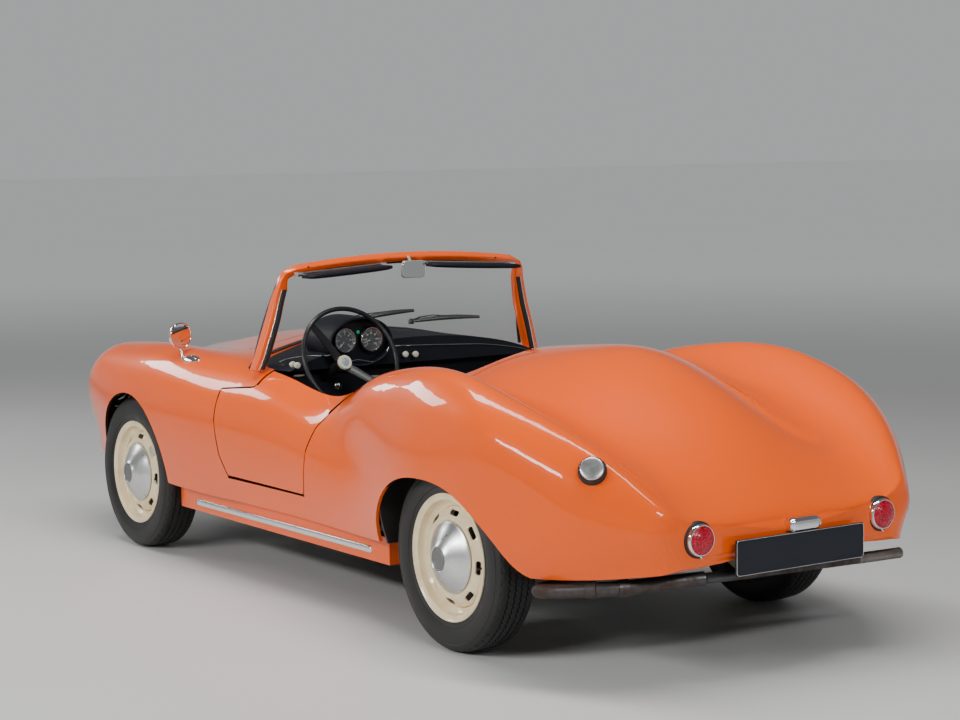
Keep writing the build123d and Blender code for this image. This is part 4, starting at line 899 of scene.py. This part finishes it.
moulding_left = [
    (1.392, 0.530, 0.824), (1.385, 0.500, 0.832), (1.345, 0.467, 0.842), (1.285, 0.440, 0.848),
    (1.236, 0.400, 0.850),
]
moulding_dip = [
    (1.2287, 0.372, 0.831), (1.2287, 0.345, 0.823), (1.2287, 0.315, 0.823), (1.2287, 0.288, 0.827),
    (1.2287, 0.262, 0.823), (1.2287, 0.235, 0.817), (1.2287, 0.205, 0.816), (1.2287, 0.180, 0.825),
    (1.2287, 0.162, 0.842), (1.2287, 0.150, 0.862), (1.2400, 0.138, 0.868),
]
moulding_right = [
    (1.2500, 0.110, 0.8675), (1.2505, 0.038, 0.8645), (1.2505, -0.044, 0.861), (1.2505, -0.145, 0.8565),
    (1.2505, -0.271, 0.850), (1.2505, -0.356, 0.841), (1.2505, -0.428, 0.830), (1.2505, -0.481, 0.820),
    (1.2505, -0.530, 0.806),
]


def smooth_path(places, steps=6):
    """A smooth line through places measured from the rear axle."""
    spots = [from_rear(*place) for place in places]
    line = []
    for i in range(len(spots) - 1):
        a, b, c, d = spots[max(i - 1, 0)], spots[i], spots[i + 1], spots[min(i + 2, len(spots) - 1)]
        for j in range(steps):
            t = j / steps
            bend = b * 2 + (c - a) * t + (a * 2 - b * 5 + c * 4 - d) * t**2
            bend += (b * 3 - a - c * 3 + d) * t**3
            line.append(bend / 2)
    return line + [spots[-1]]


mouldings = [
    swept(smooth_path(places), ring(0.0022, 8))
    for places in (moulding_left, moulding_dip + moulding_right)
]
mesh_piece("dashboard_moulding", together(*mouldings), bright_steel, "car_body")

hood_x, hood_y, hood_z = 1.230, 0.268, 0.894
hood_wide, hood_tall = 0.133, 0.089
hood_edge = []
for i in range(72):
    turn = 2 * pi * i / 72
    hood_edge.append(from_rear(hood_x, hood_y + hood_wide * cos(turn), hood_z + hood_tall * sin(turn)))
hood_lip = swept(hood_edge, soft_bar(0.009, 0.012, 0.004), up=(1, 0, 0), closed=True)
mesh_piece("dial_hood_lip", hood_lip, grained_vinyl, "car_body", smooth=60)

dial_face = Finish("dial_face", "black_plastic", Roughness=0.35)
dial_face.shader(Base_Color=dial_face.noise(90).mix((0.010, 0.010, 0.011), (0.020, 0.020, 0.020)))
dial_white = Finish("dial_white", "wheel_cream", Roughness=0.5)
dial_white.shader(Base_Color=dial_white.noise(50).mix((0.62, 0.62, 0.58), (0.72, 0.72, 0.68)))
dial_glass = Finish("dial_glass", "clear_glass", Roughness=0.02, Base_Color=(0.5, 0.55, 0.58))
dial_glass.shader(Alpha=0.10 + dial_glass.noise(5) * 0.03)



def mark(middle, turn_degrees, inner, outer, width, lift):
    """A thin raised stroke on a dial, in the direction of a clock's hand."""
    turn = radians(turn_degrees)
    way = Vector((0, -sin(turn), cos(turn)))
    ends = [middle + back * lift + way * reach for reach in (inner, outer)]
    return swept(ends, soft_bar(width, 0.0006, 0.0002, 1), up=back)


# Each dial's place across and up, its needle's turn, and the step between its numbers.
dials = ((0.3322, 0.9015, 220, 1), (0.2162, 0.8995, 250, 20))
dial_radius, number_radius, dial_start = 0.0435, 0.0235, -135
back = Vector((-1, 0, 0))
bezels, faces_of_dials, marks, panes = [], [], [], []
bezel = [
    (-0.002, dial_radius + 0.004), (0.006, dial_radius + 0.004), (0.009, dial_radius + 0.0015),
    (0.009, dial_radius - 0.001), (0.002, dial_radius - 0.003),
]
for dial_y, dial_z, needle_turn, step in dials:
    middle = from_rear(1.2445, dial_y, dial_z)
    bezels.append(turned(bezel, middle, back))
    faces_of_dials.append(turned([(0.001, dial_radius), (0.001, 0.012), (0.001, 0)], middle, back))
    panes.append(turned([(0.0065, dial_radius), (0.0075, 0.02), (0.0078, 0)], middle, back))
    faces_of_dials.append(turned([(0.001, 0.008), (0.005, 0.006), (0.0055, 0)], middle, back, 24))
    for i in range(31):
        inner, width = (0.033, 0.0008) if i % 5 else (0.029, 0.0016)
        marks.append(mark(middle, dial_start + 9 * i, inner, 0.039, width, 0.0018))
    marks.append(mark(middle, needle_turn, -0.008, 0.032, 0.0022, 0.004))
mesh_piece("dial_bezels", together(*bezels), bright_steel, "car_body")
mesh_piece("dial_faces", together(*faces_of_dials), dial_face, "car_body")
mesh_piece("dial_marks", together(*marks), dial_white, "car_body", smooth=0)
mesh_piece("dial_panes", together(*panes), dial_glass, "car_body")

numerals = []
for dial_y, dial_z, needle_turn, step in dials:
    for i in range(7):
        turn = radians(dial_start + 45 * i)
        text = bpy.data.curves.new("dial_number", "FONT")
        text.body = str(i * step)
        text.size = 0.0095
        text.align_x = "CENTER"
        text.align_y = "CENTER"
        text.extrude = 0.0002
        number = bpy.data.objects.new("dial_number", text)
        bpy.context.scene.collection.objects.link(number)
        stand = Matrix(((0, 0, -1, 0), (-1, 0, 0, 0), (0, 1, 0, 0), (0, 0, 0, 1)))
        across, rise = number_radius * sin(turn), number_radius * cos(turn)
        spot = from_rear(1.2427, dial_y - across, dial_z + rise)
        number.matrix_world = Matrix.Translation(spot) @ stand
        bpy.context.view_layer.update()
        flat = bpy.data.meshes.new_from_object(number.evaluated_get(bpy.context.evaluated_depsgraph_get()))
        flat.transform(number.matrix_world)
        numerals.append(([v.co.copy() for v in flat.vertices], [tuple(p.vertices) for p in flat.polygons]))
        bpy.data.objects.remove(number)
mesh_piece("dial_numbers", together(*numerals), dial_white, "car_body", smooth=0)

green_lamp = Finish("green_lamp", "black_plastic", Roughness=0.15, Base_Color=(0.01, 0.30, 0.14))
green_lamp.shader(Emission_Color=(0.02, 0.5, 0.25), Emission_Strength=0.25)
lamp_dome = [(0, 0.007), (0.002, 0.0065), (0.004, 0.004), (0.0045, 0)]
dash_lamp = turned(lamp_dome, from_rear(1.2645, 0.2607, 0.9274), (-1, 0, 0), 24)
mesh_piece("dial_warning_lamp", dash_lamp, green_lamp, "car_body")

cream_plastic = Finish("cream_plastic", "wheel_cream", Coat_Weight=0.4, Specular_IOR_Level=0.5)
cream_cloud = cream_plastic.noise(35, detail=4)
cream_plastic.shader(Base_Color=cream_cloud.mix((0.60, 0.54, 0.40), (0.70, 0.65, 0.52)))
cream_plastic.shader(Roughness=0.28 + cream_cloud * 0.1)

knob_profile = [
    (0, 0.004), (0.012, 0.004), (0.013, 0.008), (0.016, 0.0115), (0.022, 0.0125), (0.027, 0.0105),
    (0.0285, 0.006), (0.0285, 0),
]
knob_spots = [(1.252, 0.072, 0.8335), (1.252, 0.0266, 0.831), (1.300, 0.536, 0.822), (1.266, 0.536, 0.822)]
knobs = [turned(knob_profile, from_rear(*spot), (-1, 0, 0), 28) for spot in knob_spots]
lever_profile = soft_bar(0.010, 0.010, 0.0045)
for y, z in ((0.487, 0.7753), (0.1586, 0.748)):
    ends = [from_rear(1.322, y + 0.022, z), from_rear(1.318, y, z), from_rear(1.322, y - 0.022, z)]
    knobs.append(swept(ends, lever_profile, sizes=[0.7, 1, 0.7]))
mesh_piece("dashboard_knobs", together(*knobs), cream_plastic, "car_body")
key_lock = turned(
    [(0, 0.014), (0.006, 0.014), (0.008, 0.011), (0.008, 0)], from_rear(1.330, 0.318, 0.722), (-1, 0, 0), 28,
)
key_blade = swept(
    [from_rear(1.322, 0.318, 0.722), from_rear(1.296, 0.318, 0.722)], soft_bar(0.003, 0.020, 0.001),
)
mesh_piece("ignition_lock_and_key", together(key_lock, key_blade), bright_steel, "car_body")


# ---------------------------------------------------------------- steering wheel
# A thin black rim is moulded on a steel hoop with two broad dished spokes. The round push
# in the middle has a cream ring round a plain blue-grey disc.
glossy_black = Finish(
    "glossy_black", "black_plastic", Coat_Weight=0.12, Coat_Roughness=0.1, Specular_IOR_Level=0.3,
)
gloss_cloud = glossy_black.noise(28, detail=4)
glossy_black.shader(Base_Color=gloss_cloud.mix((0.008, 0.008, 0.009), (0.018, 0.018, 0.019)))
glossy_black.shader(Roughness=0.30 + gloss_cloud * 0.12)
refinish(glossy_black, "steering_column")

wheel_lean = radians(22)
wheel_axis = Vector((cos(wheel_lean), 0, -sin(wheel_lean)))
wheel_low, wheel_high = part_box("steering_wheel")
wheel_centre = Vector((from_rear(1.135, 0, 0).x, (wheel_low.y + wheel_high.y) / 2, 0.844))
wheel_up = Vector((sin(wheel_lean), 0, cos(wheel_lean)))
wheel_side = Vector((0, 1, 0))
rim_radius, hub_depth, spoke_dish = 0.195, 0.066, 0.064
rim_line = []
for i in range(120):
    turn = 2 * pi * i / 120
    rim_line.append(wheel_centre + (wheel_side * cos(turn) + wheel_up * sin(turn)) * rim_radius)
steering_parts = [swept(rim_line, ring(0.0088, 14), up=wheel_axis, closed=True)]
hub_middle = wheel_centre + wheel_axis * hub_depth
for turn in (46, 226):
    outward = wheel_side * cos(radians(turn)) + wheel_up * sin(radians(turn))
    spoke = []
    for i in range(13):
        share = i / 12
        dish = spoke_dish * (1 - share) ** 1.25
        spoke.append(wheel_centre + wheel_axis * dish + outward * (0.010 + 0.184 * share))
    wide = [1.15 - 0.35 * i / 12 for i in range(13)]
    steering_parts.append(swept(spoke, soft_bar(0.034, 0.006, 0.0025), up=wheel_axis, sizes=wide))
hub = [
    (-0.016, 0.0), (-0.016, 0.026), (-0.012, 0.029), (0, 0.030), (0.006, 0.028), (0.011, 0.018),
    (0.0225, 0.018), (0.0225, 0.0),
]
steering_parts.append(turned(hub, hub_middle, wheel_axis, 48))
steering = mesh_piece(
    "steering_wheel_rim_and_spokes",
    together(*steering_parts),
    glossy_black,
    "steering_wheel_body",
    smooth=50,
)
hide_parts("steering_wheel")
push_middle = wheel_centre + wheel_axis * (hub_depth - 0.013)
cream_ring = [
    (0.014, 0.0270), (0, 0.0275), (-0.006, 0.0285), (-0.011, 0.0275), (-0.0135, 0.0250),
    (-0.0140, 0.0165), (-0.0120, 0.0155),
]
mesh_piece(
    "horn_push_ring", turned(cream_ring, push_middle, wheel_axis, 48), cream_plastic, "steering_wheel_body",
)
blue_grey = Finish("blue_grey", "black_plastic", Roughness=0.3, Coat_Weight=0.4)
blue_grey.shader(Base_Color=blue_grey.noise(60).mix((0.22, 0.28, 0.31), (0.30, 0.36, 0.38)))
push_disc = turned(
    [(-0.0123, 0.0156), (-0.0138, 0.010), (-0.0144, 0.005), (-0.0146, 0)], push_middle, wheel_axis, 48,
)
mesh_piece("horn_push_disc", push_disc, blue_grey, "steering_wheel_body")


# ---------------------------------------------------------------- seats
# Each bucket seat is a sprung cushion and a leaning back, both padded and covered in black
# leather with sewn channels and a piped edge.
seat_leather = Finish("seat_leather", "seat_leather", Specular_IOR_Level=0.5)
hide_grain = seat_leather.cells(330, feature="DISTANCE_TO_EDGE")
hide_wear = seat_leather.noise(6, detail=6, rough=0.6)
seat_leather.shader(Base_Color=hide_wear.mix((0.010, 0.010, 0.011), (0.030, 0.028, 0.027)))
seat_leather.shader(Roughness=0.34 + hide_wear * 0.3)
seat_leather.bump(hide_grain, 0.35, 0.0014)


def cushion_shape(length, width, height, crown, pull, steps=22):
    """A crowned closed form, lying flat, whose sides pull in between its corners."""
    points, faces = [], []
    for axis in range(3):
        for side in (-1, 1):
            base = len(points)
            for i in range(steps + 1):
                for j in range(steps + 1):
                    u, v = sin(pi * (i / steps - 0.5)), sin(pi * (j / steps - 0.5))
                    spot = [0, 0, 0]
                    spot[axis] = side
                    spot[(axis + 1) % 3] = u
                    spot[(axis + 2) % 3] = v
                    size = sum(abs(s) ** 7 for s in spot) ** (1 / 7)
                    x, y, z = (s / size for s in spot)
                    bulge = (1 - x**2) * (1 - y**2) * max(z, 0) * crown
                    long = length / 2 * x * (1 - pull * (1 - y**2))
                    wide = width / 2 * y * (1 - pull * (1 - x**2))
                    points.append(Vector((long, wide, height / 2 * z + bulge)))
            for i in range(steps):
                for j in range(steps):
                    a = base + i * (steps + 1) + j
                    faces.append((a, a + steps + 1, a + steps + 2, a + 1))
    return points, faces


def fill_with_air(piece, reach):
    """Plumps a closed cover as a cloth under slight pressure, no point moving beyond reach."""
    skin = piece.modifiers.new("skin", "REMESH")
    skin.mode = "VOXEL"
    skin.voxel_size = 0.006
    shown = bpy.context.evaluated_depsgraph_get()
    piece.data = bpy.data.meshes.new_from_object(piece.evaluated_get(shown))
    piece.modifiers.clear()
    start = [v.co.copy() for v in piece.data.vertices]
    cloth = piece.modifiers.new("cloth", "CLOTH")
    cloth.settings.quality = 4
    cloth.settings.use_pressure = True
    cloth.settings.uniform_pressure_force = 4
    cloth.settings.effector_weights.gravity = 0
    cloth.point_cache.frame_start = 1
    cloth.point_cache.frame_end = 20
    for moment in range(1, 21):
        bpy.context.scene.frame_set(moment)
    shown = bpy.context.evaluated_depsgraph_get()
    swollen = [v.co.copy() for v in piece.evaluated_get(shown).data.vertices]
    piece.modifiers.clear()
    bpy.context.scene.frame_set(1)
    for vertex, old, new in zip(piece.data.vertices, start, swollen):
        move = new - old
        if move.length > reach:
            move *= reach / move.length
        vertex.co = old + move


def pad(name, shape, lay, channels, span, reach, body):
    """A sewn pad: filled, smoothed, its channels pulled down, then laid in its place."""
    piece = mesh_piece(name, shape, seat_leather, body, smooth=180)
    fill_with_air(piece, reach)
    finer = piece.modifiers.new("finer", "SUBSURF")
    finer.levels = 1
    shown = bpy.context.evaluated_depsgraph_get()
    piece.data = bpy.data.meshes.new_from_object(piece.evaluated_get(shown))
    piece.modifiers.clear()
    for vertex in piece.data.vertices:
        x, y, z = vertex.co
        if z > 0 and abs(x) < span:
            dent = sum(exp(-(((y - line) / 0.0045) ** 2)) for line in channels)
            rim = exp(-(((abs(x) - span) / 0.006) ** 2)) if abs(y) < channels[-1] + 0.01 else 0
            vertex.co.z -= 0.007 * min(dent + rim, 1) * min(1, z / 0.02)
    piece.data.transform(lay)
    piece.data.shade_smooth()
    return piece


def piping(length, width, pull, height, lay):
    """A round sewn cord along a pad's upper edge."""
    path = []
    for i in range(96):
        turn = 2 * pi * i / 96
        size = (abs(cos(turn)) ** 7 + abs(sin(turn)) ** 7) ** (1 / 7)
        x, y = cos(turn) / size, sin(turn) / size
        path.append(
            lay @ Vector(
                (length / 2 * x * (1 - pull * (1 - y**2)), width / 2 * y * (1 - pull * (1 - x**2)), height)
            )
        )
    return swept(path, ring(0.0042, 8), up=lay.to_3x3() @ Vector((0, 0, 1)), closed=True)


seat_low, seat_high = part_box("left_seat")
seat_y = (seat_low.y + seat_high.y) / 2
seat_wide = seat_high.y - seat_low.y
cushion_lay = Matrix.Translation(
    (from_rear(0.735, 0, 0).x, seat_y, seat_low.z + 0.066)
) @ Matrix.Rotation(radians(-3), 4, "Y")
back_lay = Matrix.Translation(
    (from_rear(0.487, 0, 0).x, seat_y, 0.59)
) @ Matrix.Rotation(radians(-77), 4, "Y") @ Matrix.Rotation(pi, 4, "Z")
channels = [-0.12, -0.072, -0.024, 0.024, 0.072, 0.12]
for name, size, lay, span in (
    ("seat_cushion", (0.43, seat_wide - 0.03, 0.10, 0.02, 0.03), cushion_lay, 0.15),
    ("seat_back", (0.40, seat_wide - 0.035, 0.07, 0.014, 0.03), back_lay, 0.145),
):
    left_pad = pad(f"left_{name}", cushion_shape(*size), lay, channels, span, 0.014, "car_body")
    right_pad = left_pad.copy()
    right_pad.data = left_pad.data.copy()
    right_pad.name = f"right_{name}"
    right_pad.data.transform(Matrix.Scale(-1, 4, (0, 1, 0)))
    right_pad.data.flip_normals()
    bpy.context.scene.collection.objects.link(right_pad)
    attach(right_pad, "car_body")
    edge = piping(size[0] + 0.012, size[1] + 0.012, size[4], size[2] / 2 * 0.82, lay)
    mesh_piece(f"{name}_piping", together(edge, mirrored(edge)), moulded_rubber, "car_body", smooth=60)
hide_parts("left_seat")
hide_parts("right_seat")


# ---------------------------------------------------------------- door cards and controls
# Flat boards in the same vinyl are clipped inside the doors, each with a sewn border and a
# pull strap. The gear lever has a cream knob, the pedals are rubber and the hand levers satin black.
def door_card(inner):
    """A flat board against the door's inner face, with its border pressed in."""
    outline = [
        (0.985, 0.42), (1.44, 0.42), (1.478, 0.47), (1.495, 0.56), (1.495, 0.655), (1.46, 0.692),
        (0.985, 0.692), (0.945, 0.66), (0.945, 0.47),
    ]
    middle = Vector((1.22, 0.556))
    layers = (
        (0, 0), (0.004, 0), (0.0065, 0.003), (0.0065, 0.022), (0.0052, 0.024), (0.0052, 0.027),
        (0.0068, 0.029),
    )
    points = []
    for depth, shrink in layers:
        for x, z in outline:
            spot = Vector((x, z))
            inward = (middle - spot).normalized() * shrink
            points.append(from_rear(x + inward.x, inner - depth, z + inward.y))
    wide = len(outline)
    ends = [tuple(range(wide)), tuple(range(len(points) - wide, len(points)))]
    return points, stitched(len(layers), wide) + ends


card = door_card(0.5872)
strap_path = [
    (1.10, 0.578, 0.642), (1.12, 0.562, 0.645), (1.17, 0.556, 0.646), (1.22, 0.556, 0.646),
    (1.27, 0.562, 0.645), (1.29, 0.578, 0.642),
]
strap = swept(smooth_path(strap_path), soft_bar(0.004, 0.026, 0.0018), up=(0, 0, 1))
for side, shape in (("left", together(card, strap)), ("right", mirrored(together(card, strap)))):
    mesh_piece(f"{side}_door_card", shape, grained_vinyl, f"{side}_door", smooth=25)

refinish(moulded_rubber, "pedals")
refinish(satin_black, "hand_levers")
lever_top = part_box("hand_levers")[1].z
knob_middle = from_rear(1.118, 0, lever_top - 0.020)
gear_knob = [(0.026 * -cos(pi * i / 16), 0.0235 * sin(pi * i / 16)) for i in range(17)]
mesh_piece("gear_lever_knob", turned(gear_knob, knob_middle, (-0.28, 0, 0.96), 32), cream_plastic, "car_body")


# ---------------------------------------------------------------- headlamps and indicators
# Round headlamps with a ribbed domed glass in a chrome ring are set in the nose, over
# small round indicators, and an oval chrome grille with level bars lies between them.
chrome = Finish("chrome_plate", "chrome", Metallic=1.0)
chrome_blur = chrome.noise(25, detail=5)
chrome.shader(Base_Color=chrome_blur.mix((0.80, 0.81, 0.82), (0.90, 0.90, 0.91)))
chrome.shader(Roughness=0.05 + chrome_blur * 0.07)
refinish(chrome, "grille")

lamp_glass = Finish("ribbed_glass", "lamp_glass", Roughness=0.06, IOR=1.5, Coat_Weight=0.6)
lamp_ribs = lamp_glass.node("Mapping", {"Vector": lamp_glass.place(), "Scale": (0, 1, 0)})
flutes = lamp_glass.node("TexWave", {"Vector": lamp_ribs, "Scale": 24}, output=1, bands_direction="Y")
lamp_glass.shader(Base_Color=flutes.mix((0.60, 0.63, 0.64), (0.82, 0.84, 0.84)), Alpha=0.45 + flutes * 0.15)
lamp_glass.bump(flutes, 0.5, 0.003)
reflector = Finish("reflector", "chrome", Metallic=1.0, Roughness=0.12)
reflector.shader(Base_Color=reflector.noise(12).mix((0.80, 0.80, 0.79), (0.88, 0.88, 0.87)))

rings, lenses, bowls = [], [], []
for lamp_x, lamp_y, lamp_z, radius, face in (
    (3.000, 0.418, 0.566, 0.088, 0.105), (3.040, 0.330, 0.452, 0.026, 0.112),
):
    for side in (-1, 1):
        middle = from_rear(lamp_x, side * lamp_y, lamp_z)
        rim = [
            (-0.02, radius - 0.001),
            (face - 0.03, radius - 0.0005),
            (face - 0.006, radius - 0.0005),
            (face - 0.001, radius * 0.985),
            (face + 0.002, radius * 0.95),
            (face + 0.001, radius * 0.90),
            (face - 0.003, radius * 0.885),
            (face - 0.012, radius * 0.885),
        ]
        rings.append(turned(rim, middle, (1, 0, 0)))
        dome = [(face - 0.008, radius * 0.889)]
        dome += [
            (face - 0.004 + radius * 0.16 * (1 - s**2), radius * 0.885 * s)
            for s in (1, 0.9, 0.75, 0.6, 0.4, 0.2, 0)
        ]
        lenses.append(turned(dome, middle, (1, 0, 0)))
        bowl = [
            (face - 0.009, radius * 0.88),
            (face - radius * 0.35, radius * 0.74),
            (face - radius * 0.65, radius * 0.45),
            (face - radius * 0.8, 0),
        ]
        bowls.append(turned(bowl, middle, (1, 0, 0)))
front_rings = mesh_piece("front_lamp_rings", together(*rings), chrome, "car_body")
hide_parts("front_lamps")
mesh_piece("front_lamp_lenses", together(*lenses), lamp_glass, "car_body", smooth=60)
mesh_piece("front_lamp_reflectors", together(*bowls), reflector, "car_body", smooth=60)


# ---------------------------------------------------------------- tail lamps
# Each tail lamp is a domed red lens with moulded ribs, in a chrome bezel over a black
# rubber base ring. One small chrome screw at its foot holds the bezel.
red_lens = Finish(
    "red_lens", "red_lens", Roughness=0.3, Coat_Weight=0.6, Coat_Roughness=0.03, Specular_IOR_Level=0.2,
)
lens_cells = red_lens.cells(150, feature="DISTANCE_TO_EDGE")
lens_tone = lens_cells.above(0.16, 0.14)
red_lens.shader(Base_Color=lens_tone.mix((0.16, 0.001, 0.006), (0.48, 0.003, 0.022)))
red_lens.shader(Emission_Color=lens_tone.mix((0.14, 0.0, 0.008), (0.60, 0.004, 0.05)), Emission_Strength=0.35)
red_lens.bump(lens_cells, 0.4, 0.0015)

tail_rubbers, tail_rings, tail_lenses, tail_screws = [], [], [], []
tail_radius = 0.051
for side in (-1, 1):
    middle = from_rear(-0.8480, side * 0.371, 0.453)
    base = [
        (-0.02, tail_radius + 0.003),
        (0.010, tail_radius + 0.0055),
        (0.015, tail_radius + 0.005),
        (0.018, tail_radius + 0.002),
        (0.018, tail_radius - 0.006),
        (0.004, tail_radius - 0.008),
    ]
    tail_rubbers.append(turned(base, middle, back))
    rim = [
        (0.012, tail_radius - 0.001),
        (0.024, tail_radius - 0.0012),
        (0.029, tail_radius - 0.0028),
        (0.031, tail_radius - 0.0050),
        (0.031, tail_radius - 0.0070),
        (0.028, tail_radius - 0.0080),
        (0.022, tail_radius - 0.0080),
    ]
    tail_rings.append(turned(rim, middle, back))
    lens = [(0.020, tail_radius - 0.0082), (0.030, tail_radius - 0.0085)]
    for i in range(1, 25):
        share = 1 - i / 24
        rib = 0.0007 if i % 4 in (1, 2) else 0
        lens.append((0.030 + 0.014 * (1 - share**2) + rib, (tail_radius - 0.0085) * share))
    tail_lenses.append(turned(lens, middle, back))
    foot = middle + back * 0.024 + Vector((0, 0, -(tail_radius + 0.002)))
    tail_screws.append(turned([(0, 0.0042), (0.0022, 0.0038), (0.0034, 0.0022), (0.0036, 0)], foot, back, 20))
tail = mesh_piece("tail_lamp_bases", together(*tail_rubbers), moulded_rubber, "car_body")
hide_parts("tail_lamps")
mesh_piece("tail_lamp_bezels", together(*tail_rings), chrome, "car_body")
mesh_piece("tail_lamp_lenses", together(*tail_lenses), red_lens, "car_body", smooth=60)
mesh_piece("tail_lamp_screws", together(*tail_screws), bright_steel, "car_body")


# ---------------------------------------------------------------- number plate and its lamp
# A blank slate-black plate with a thin raised silver edge hangs between the tail lamps,
# under a small chrome lamp with a rounded hood.
plate_black = Finish(
    "plate_black", "plate_black", Coat_Weight=0.1, Coat_Roughness=0.2, Specular_IOR_Level=0.25,
)
plate_cloud = plate_black.noise(7, detail=5)
plate_black.shader(Base_Color=plate_cloud.mix((0.008, 0.010, 0.015), (0.016, 0.019, 0.027)))
plate_black.shader(Roughness=0.55 + plate_cloud * 0.15)
refinish(plate_black, "number_plate")

plate_low, plate_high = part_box("number_plate")
plate_middle = Vector((plate_low.x, 0, (plate_low.z + plate_high.z) / 2))
plate_layers = [(0.0, 0.0), (0.0022, 0.0), (0.0032, 0.001), (0.0032, 0.0035), (0.0022, 0.0045)]
plate_face = rounded_plate(plate_middle, (-1, 0, 0), 0.520, 0.110, 0.012, plate_layers)
mesh_piece("number_plate_face", plate_face, plate_black, "car_body", smooth=30)
edge_path = [plate_middle + Vector((-0.0034, u, v)) for u, v in soft_bar(0.5165, 0.1065, 0.010, 6)]
plate_edge = swept(edge_path, soft_bar(0.0016, 0.0016, 0.0006, 2), up=(1, 0, 0), closed=True)
mesh_piece("number_plate_edge", plate_edge, polished_strip, "car_body")

hood_path, hood_sizes = [], []
for i in range(17):
    share = i / 16
    way = share - sin(2 * pi * share) / (2 * pi)
    hood_path.append(from_rear(-0.880, -0.0865 + 0.125 * way, 0.4625))
    hood_sizes.append(max(1 - abs(2 * way - 1) ** 14, 0.70))
lamp_hood = swept(hood_path, soft_bar(0.046, 0.044, 0.014, 5), sizes=hood_sizes)
lamp_foot = swept(
    [from_rear(-0.876, -0.024, 0.458), from_rear(-0.845, -0.024, 0.460)], soft_bar(0.05, 0.020, 0.005),
)
hooded = mesh_piece("plate_lamp_hood", together(lamp_hood, lamp_foot), chrome, "car_body", smooth=50)
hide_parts("plate_lamp")
window = swept(
    [from_rear(-0.880, -0.056, 0.4435), from_rear(-0.880, 0.008, 0.4435)], soft_bar(0.026, 0.005, 0.002),
)
mesh_piece("plate_lamp_window", window, lamp_glass, "car_body")


# ---------------------------------------------------------------- fuel cap
# A brushed aluminium filler cap, slightly domed, closes on a thick black rubber ring set
# square to the left rear fender.
cap_out = Vector((-0.65, 0.57, 0.5)).normalized()
cap_base = from_rear(-0.670, 0.620, 0.660)
grommet = [(-0.02, 0.0435), (0.006, 0.0440), (0.012, 0.0425), (0.014, 0.0395), (0.013, 0.0360)]
mesh_piece("fuel_cap_rubber", turned(grommet, cap_base, cap_out), moulded_rubber, "car_body")
lid = [
    (0.008, 0.0362), (0.020, 0.0366), (0.0245, 0.0362), (0.0262, 0.0345), (0.0270, 0.0320),
    (0.0282, 0.0220), (0.0288, 0.0110), (0.0290, 0),
]
filler = mesh_piece("fuel_cap_lid", turned(lid, cap_base, cap_out), spun_aluminium, "car_body")
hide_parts("fuel_cap")


# ---------------------------------------------------------------- fender mirror
# A round glass in a chrome cup stands on a thin stem over a leaf-shaped chrome foot on the
# left front fender.
facing = Vector((-0.985, -0.17, 0)).normalized()
cup_middle = from_rear(2.030, 0.620, 0.885)
cup = [(0.0015, 0.0470), (0.0045, 0.0485), (0.0045, 0.0510), (0.0025, 0.0522), (-0.004, 0.0518)]
cup += [(-0.004 - 0.034 * sin(pi / 2 * i / 10), 0.0518 * cos(pi / 2 * i / 10)) for i in range(1, 11)]
foot_points = []
foot_middle = from_rear(1.944, 0.622, 0.797)
foot_up = Vector((0, 0.5, 0.86)).normalized()
foot_side = foot_up.cross(Vector((1, 0, 0)))
foot_layers = (
    (-0.012, 1.0), (0.001, 1.0), (0.005, 0.93), (0.008, 0.78), (0.0105, 0.5), (0.0115, 0.2), (0.0118, 0.001),
)
foot_steps = 48
for height, shrink in foot_layers:
    for i in range(foot_steps):
        turn = 2 * pi * i / foot_steps
        long = 0.080 * cos(turn) * shrink
        wide = 0.0235 * sin(turn) * (1 - 0.35 * abs(cos(turn)) ** 3) * shrink
        foot_points.append(foot_middle + Vector((1, 0, 0)) * long + foot_side * wide + foot_up * height)
foot = (foot_points, stitched(len(foot_layers), foot_steps))
stem = swept(
    [
        from_rear(2.014, 0.622, 0.800),
        from_rear(2.022, 0.622, 0.820),
        cup_middle - facing * 0.018 - Vector((0, 0, 0.04)),
    ],
    ring(0.0048, 14),
    up=(1, 0, 0),
)
mirror_body = together(turned(cup, cup_middle, facing), foot, stem)
fender_mirror = mesh_piece("fender_mirror_body", mirror_body, chrome, "car_body", smooth=45)
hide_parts("fender_mirror")
mirror_glass = turned([(0.0018, 0.0472), (0.0022, 0.040), (0.0028, 0.020), (0.0030, 0)], cup_middle, facing)
mesh_piece("fender_mirror_glass", mirror_glass, silvered, "car_body", smooth=60)
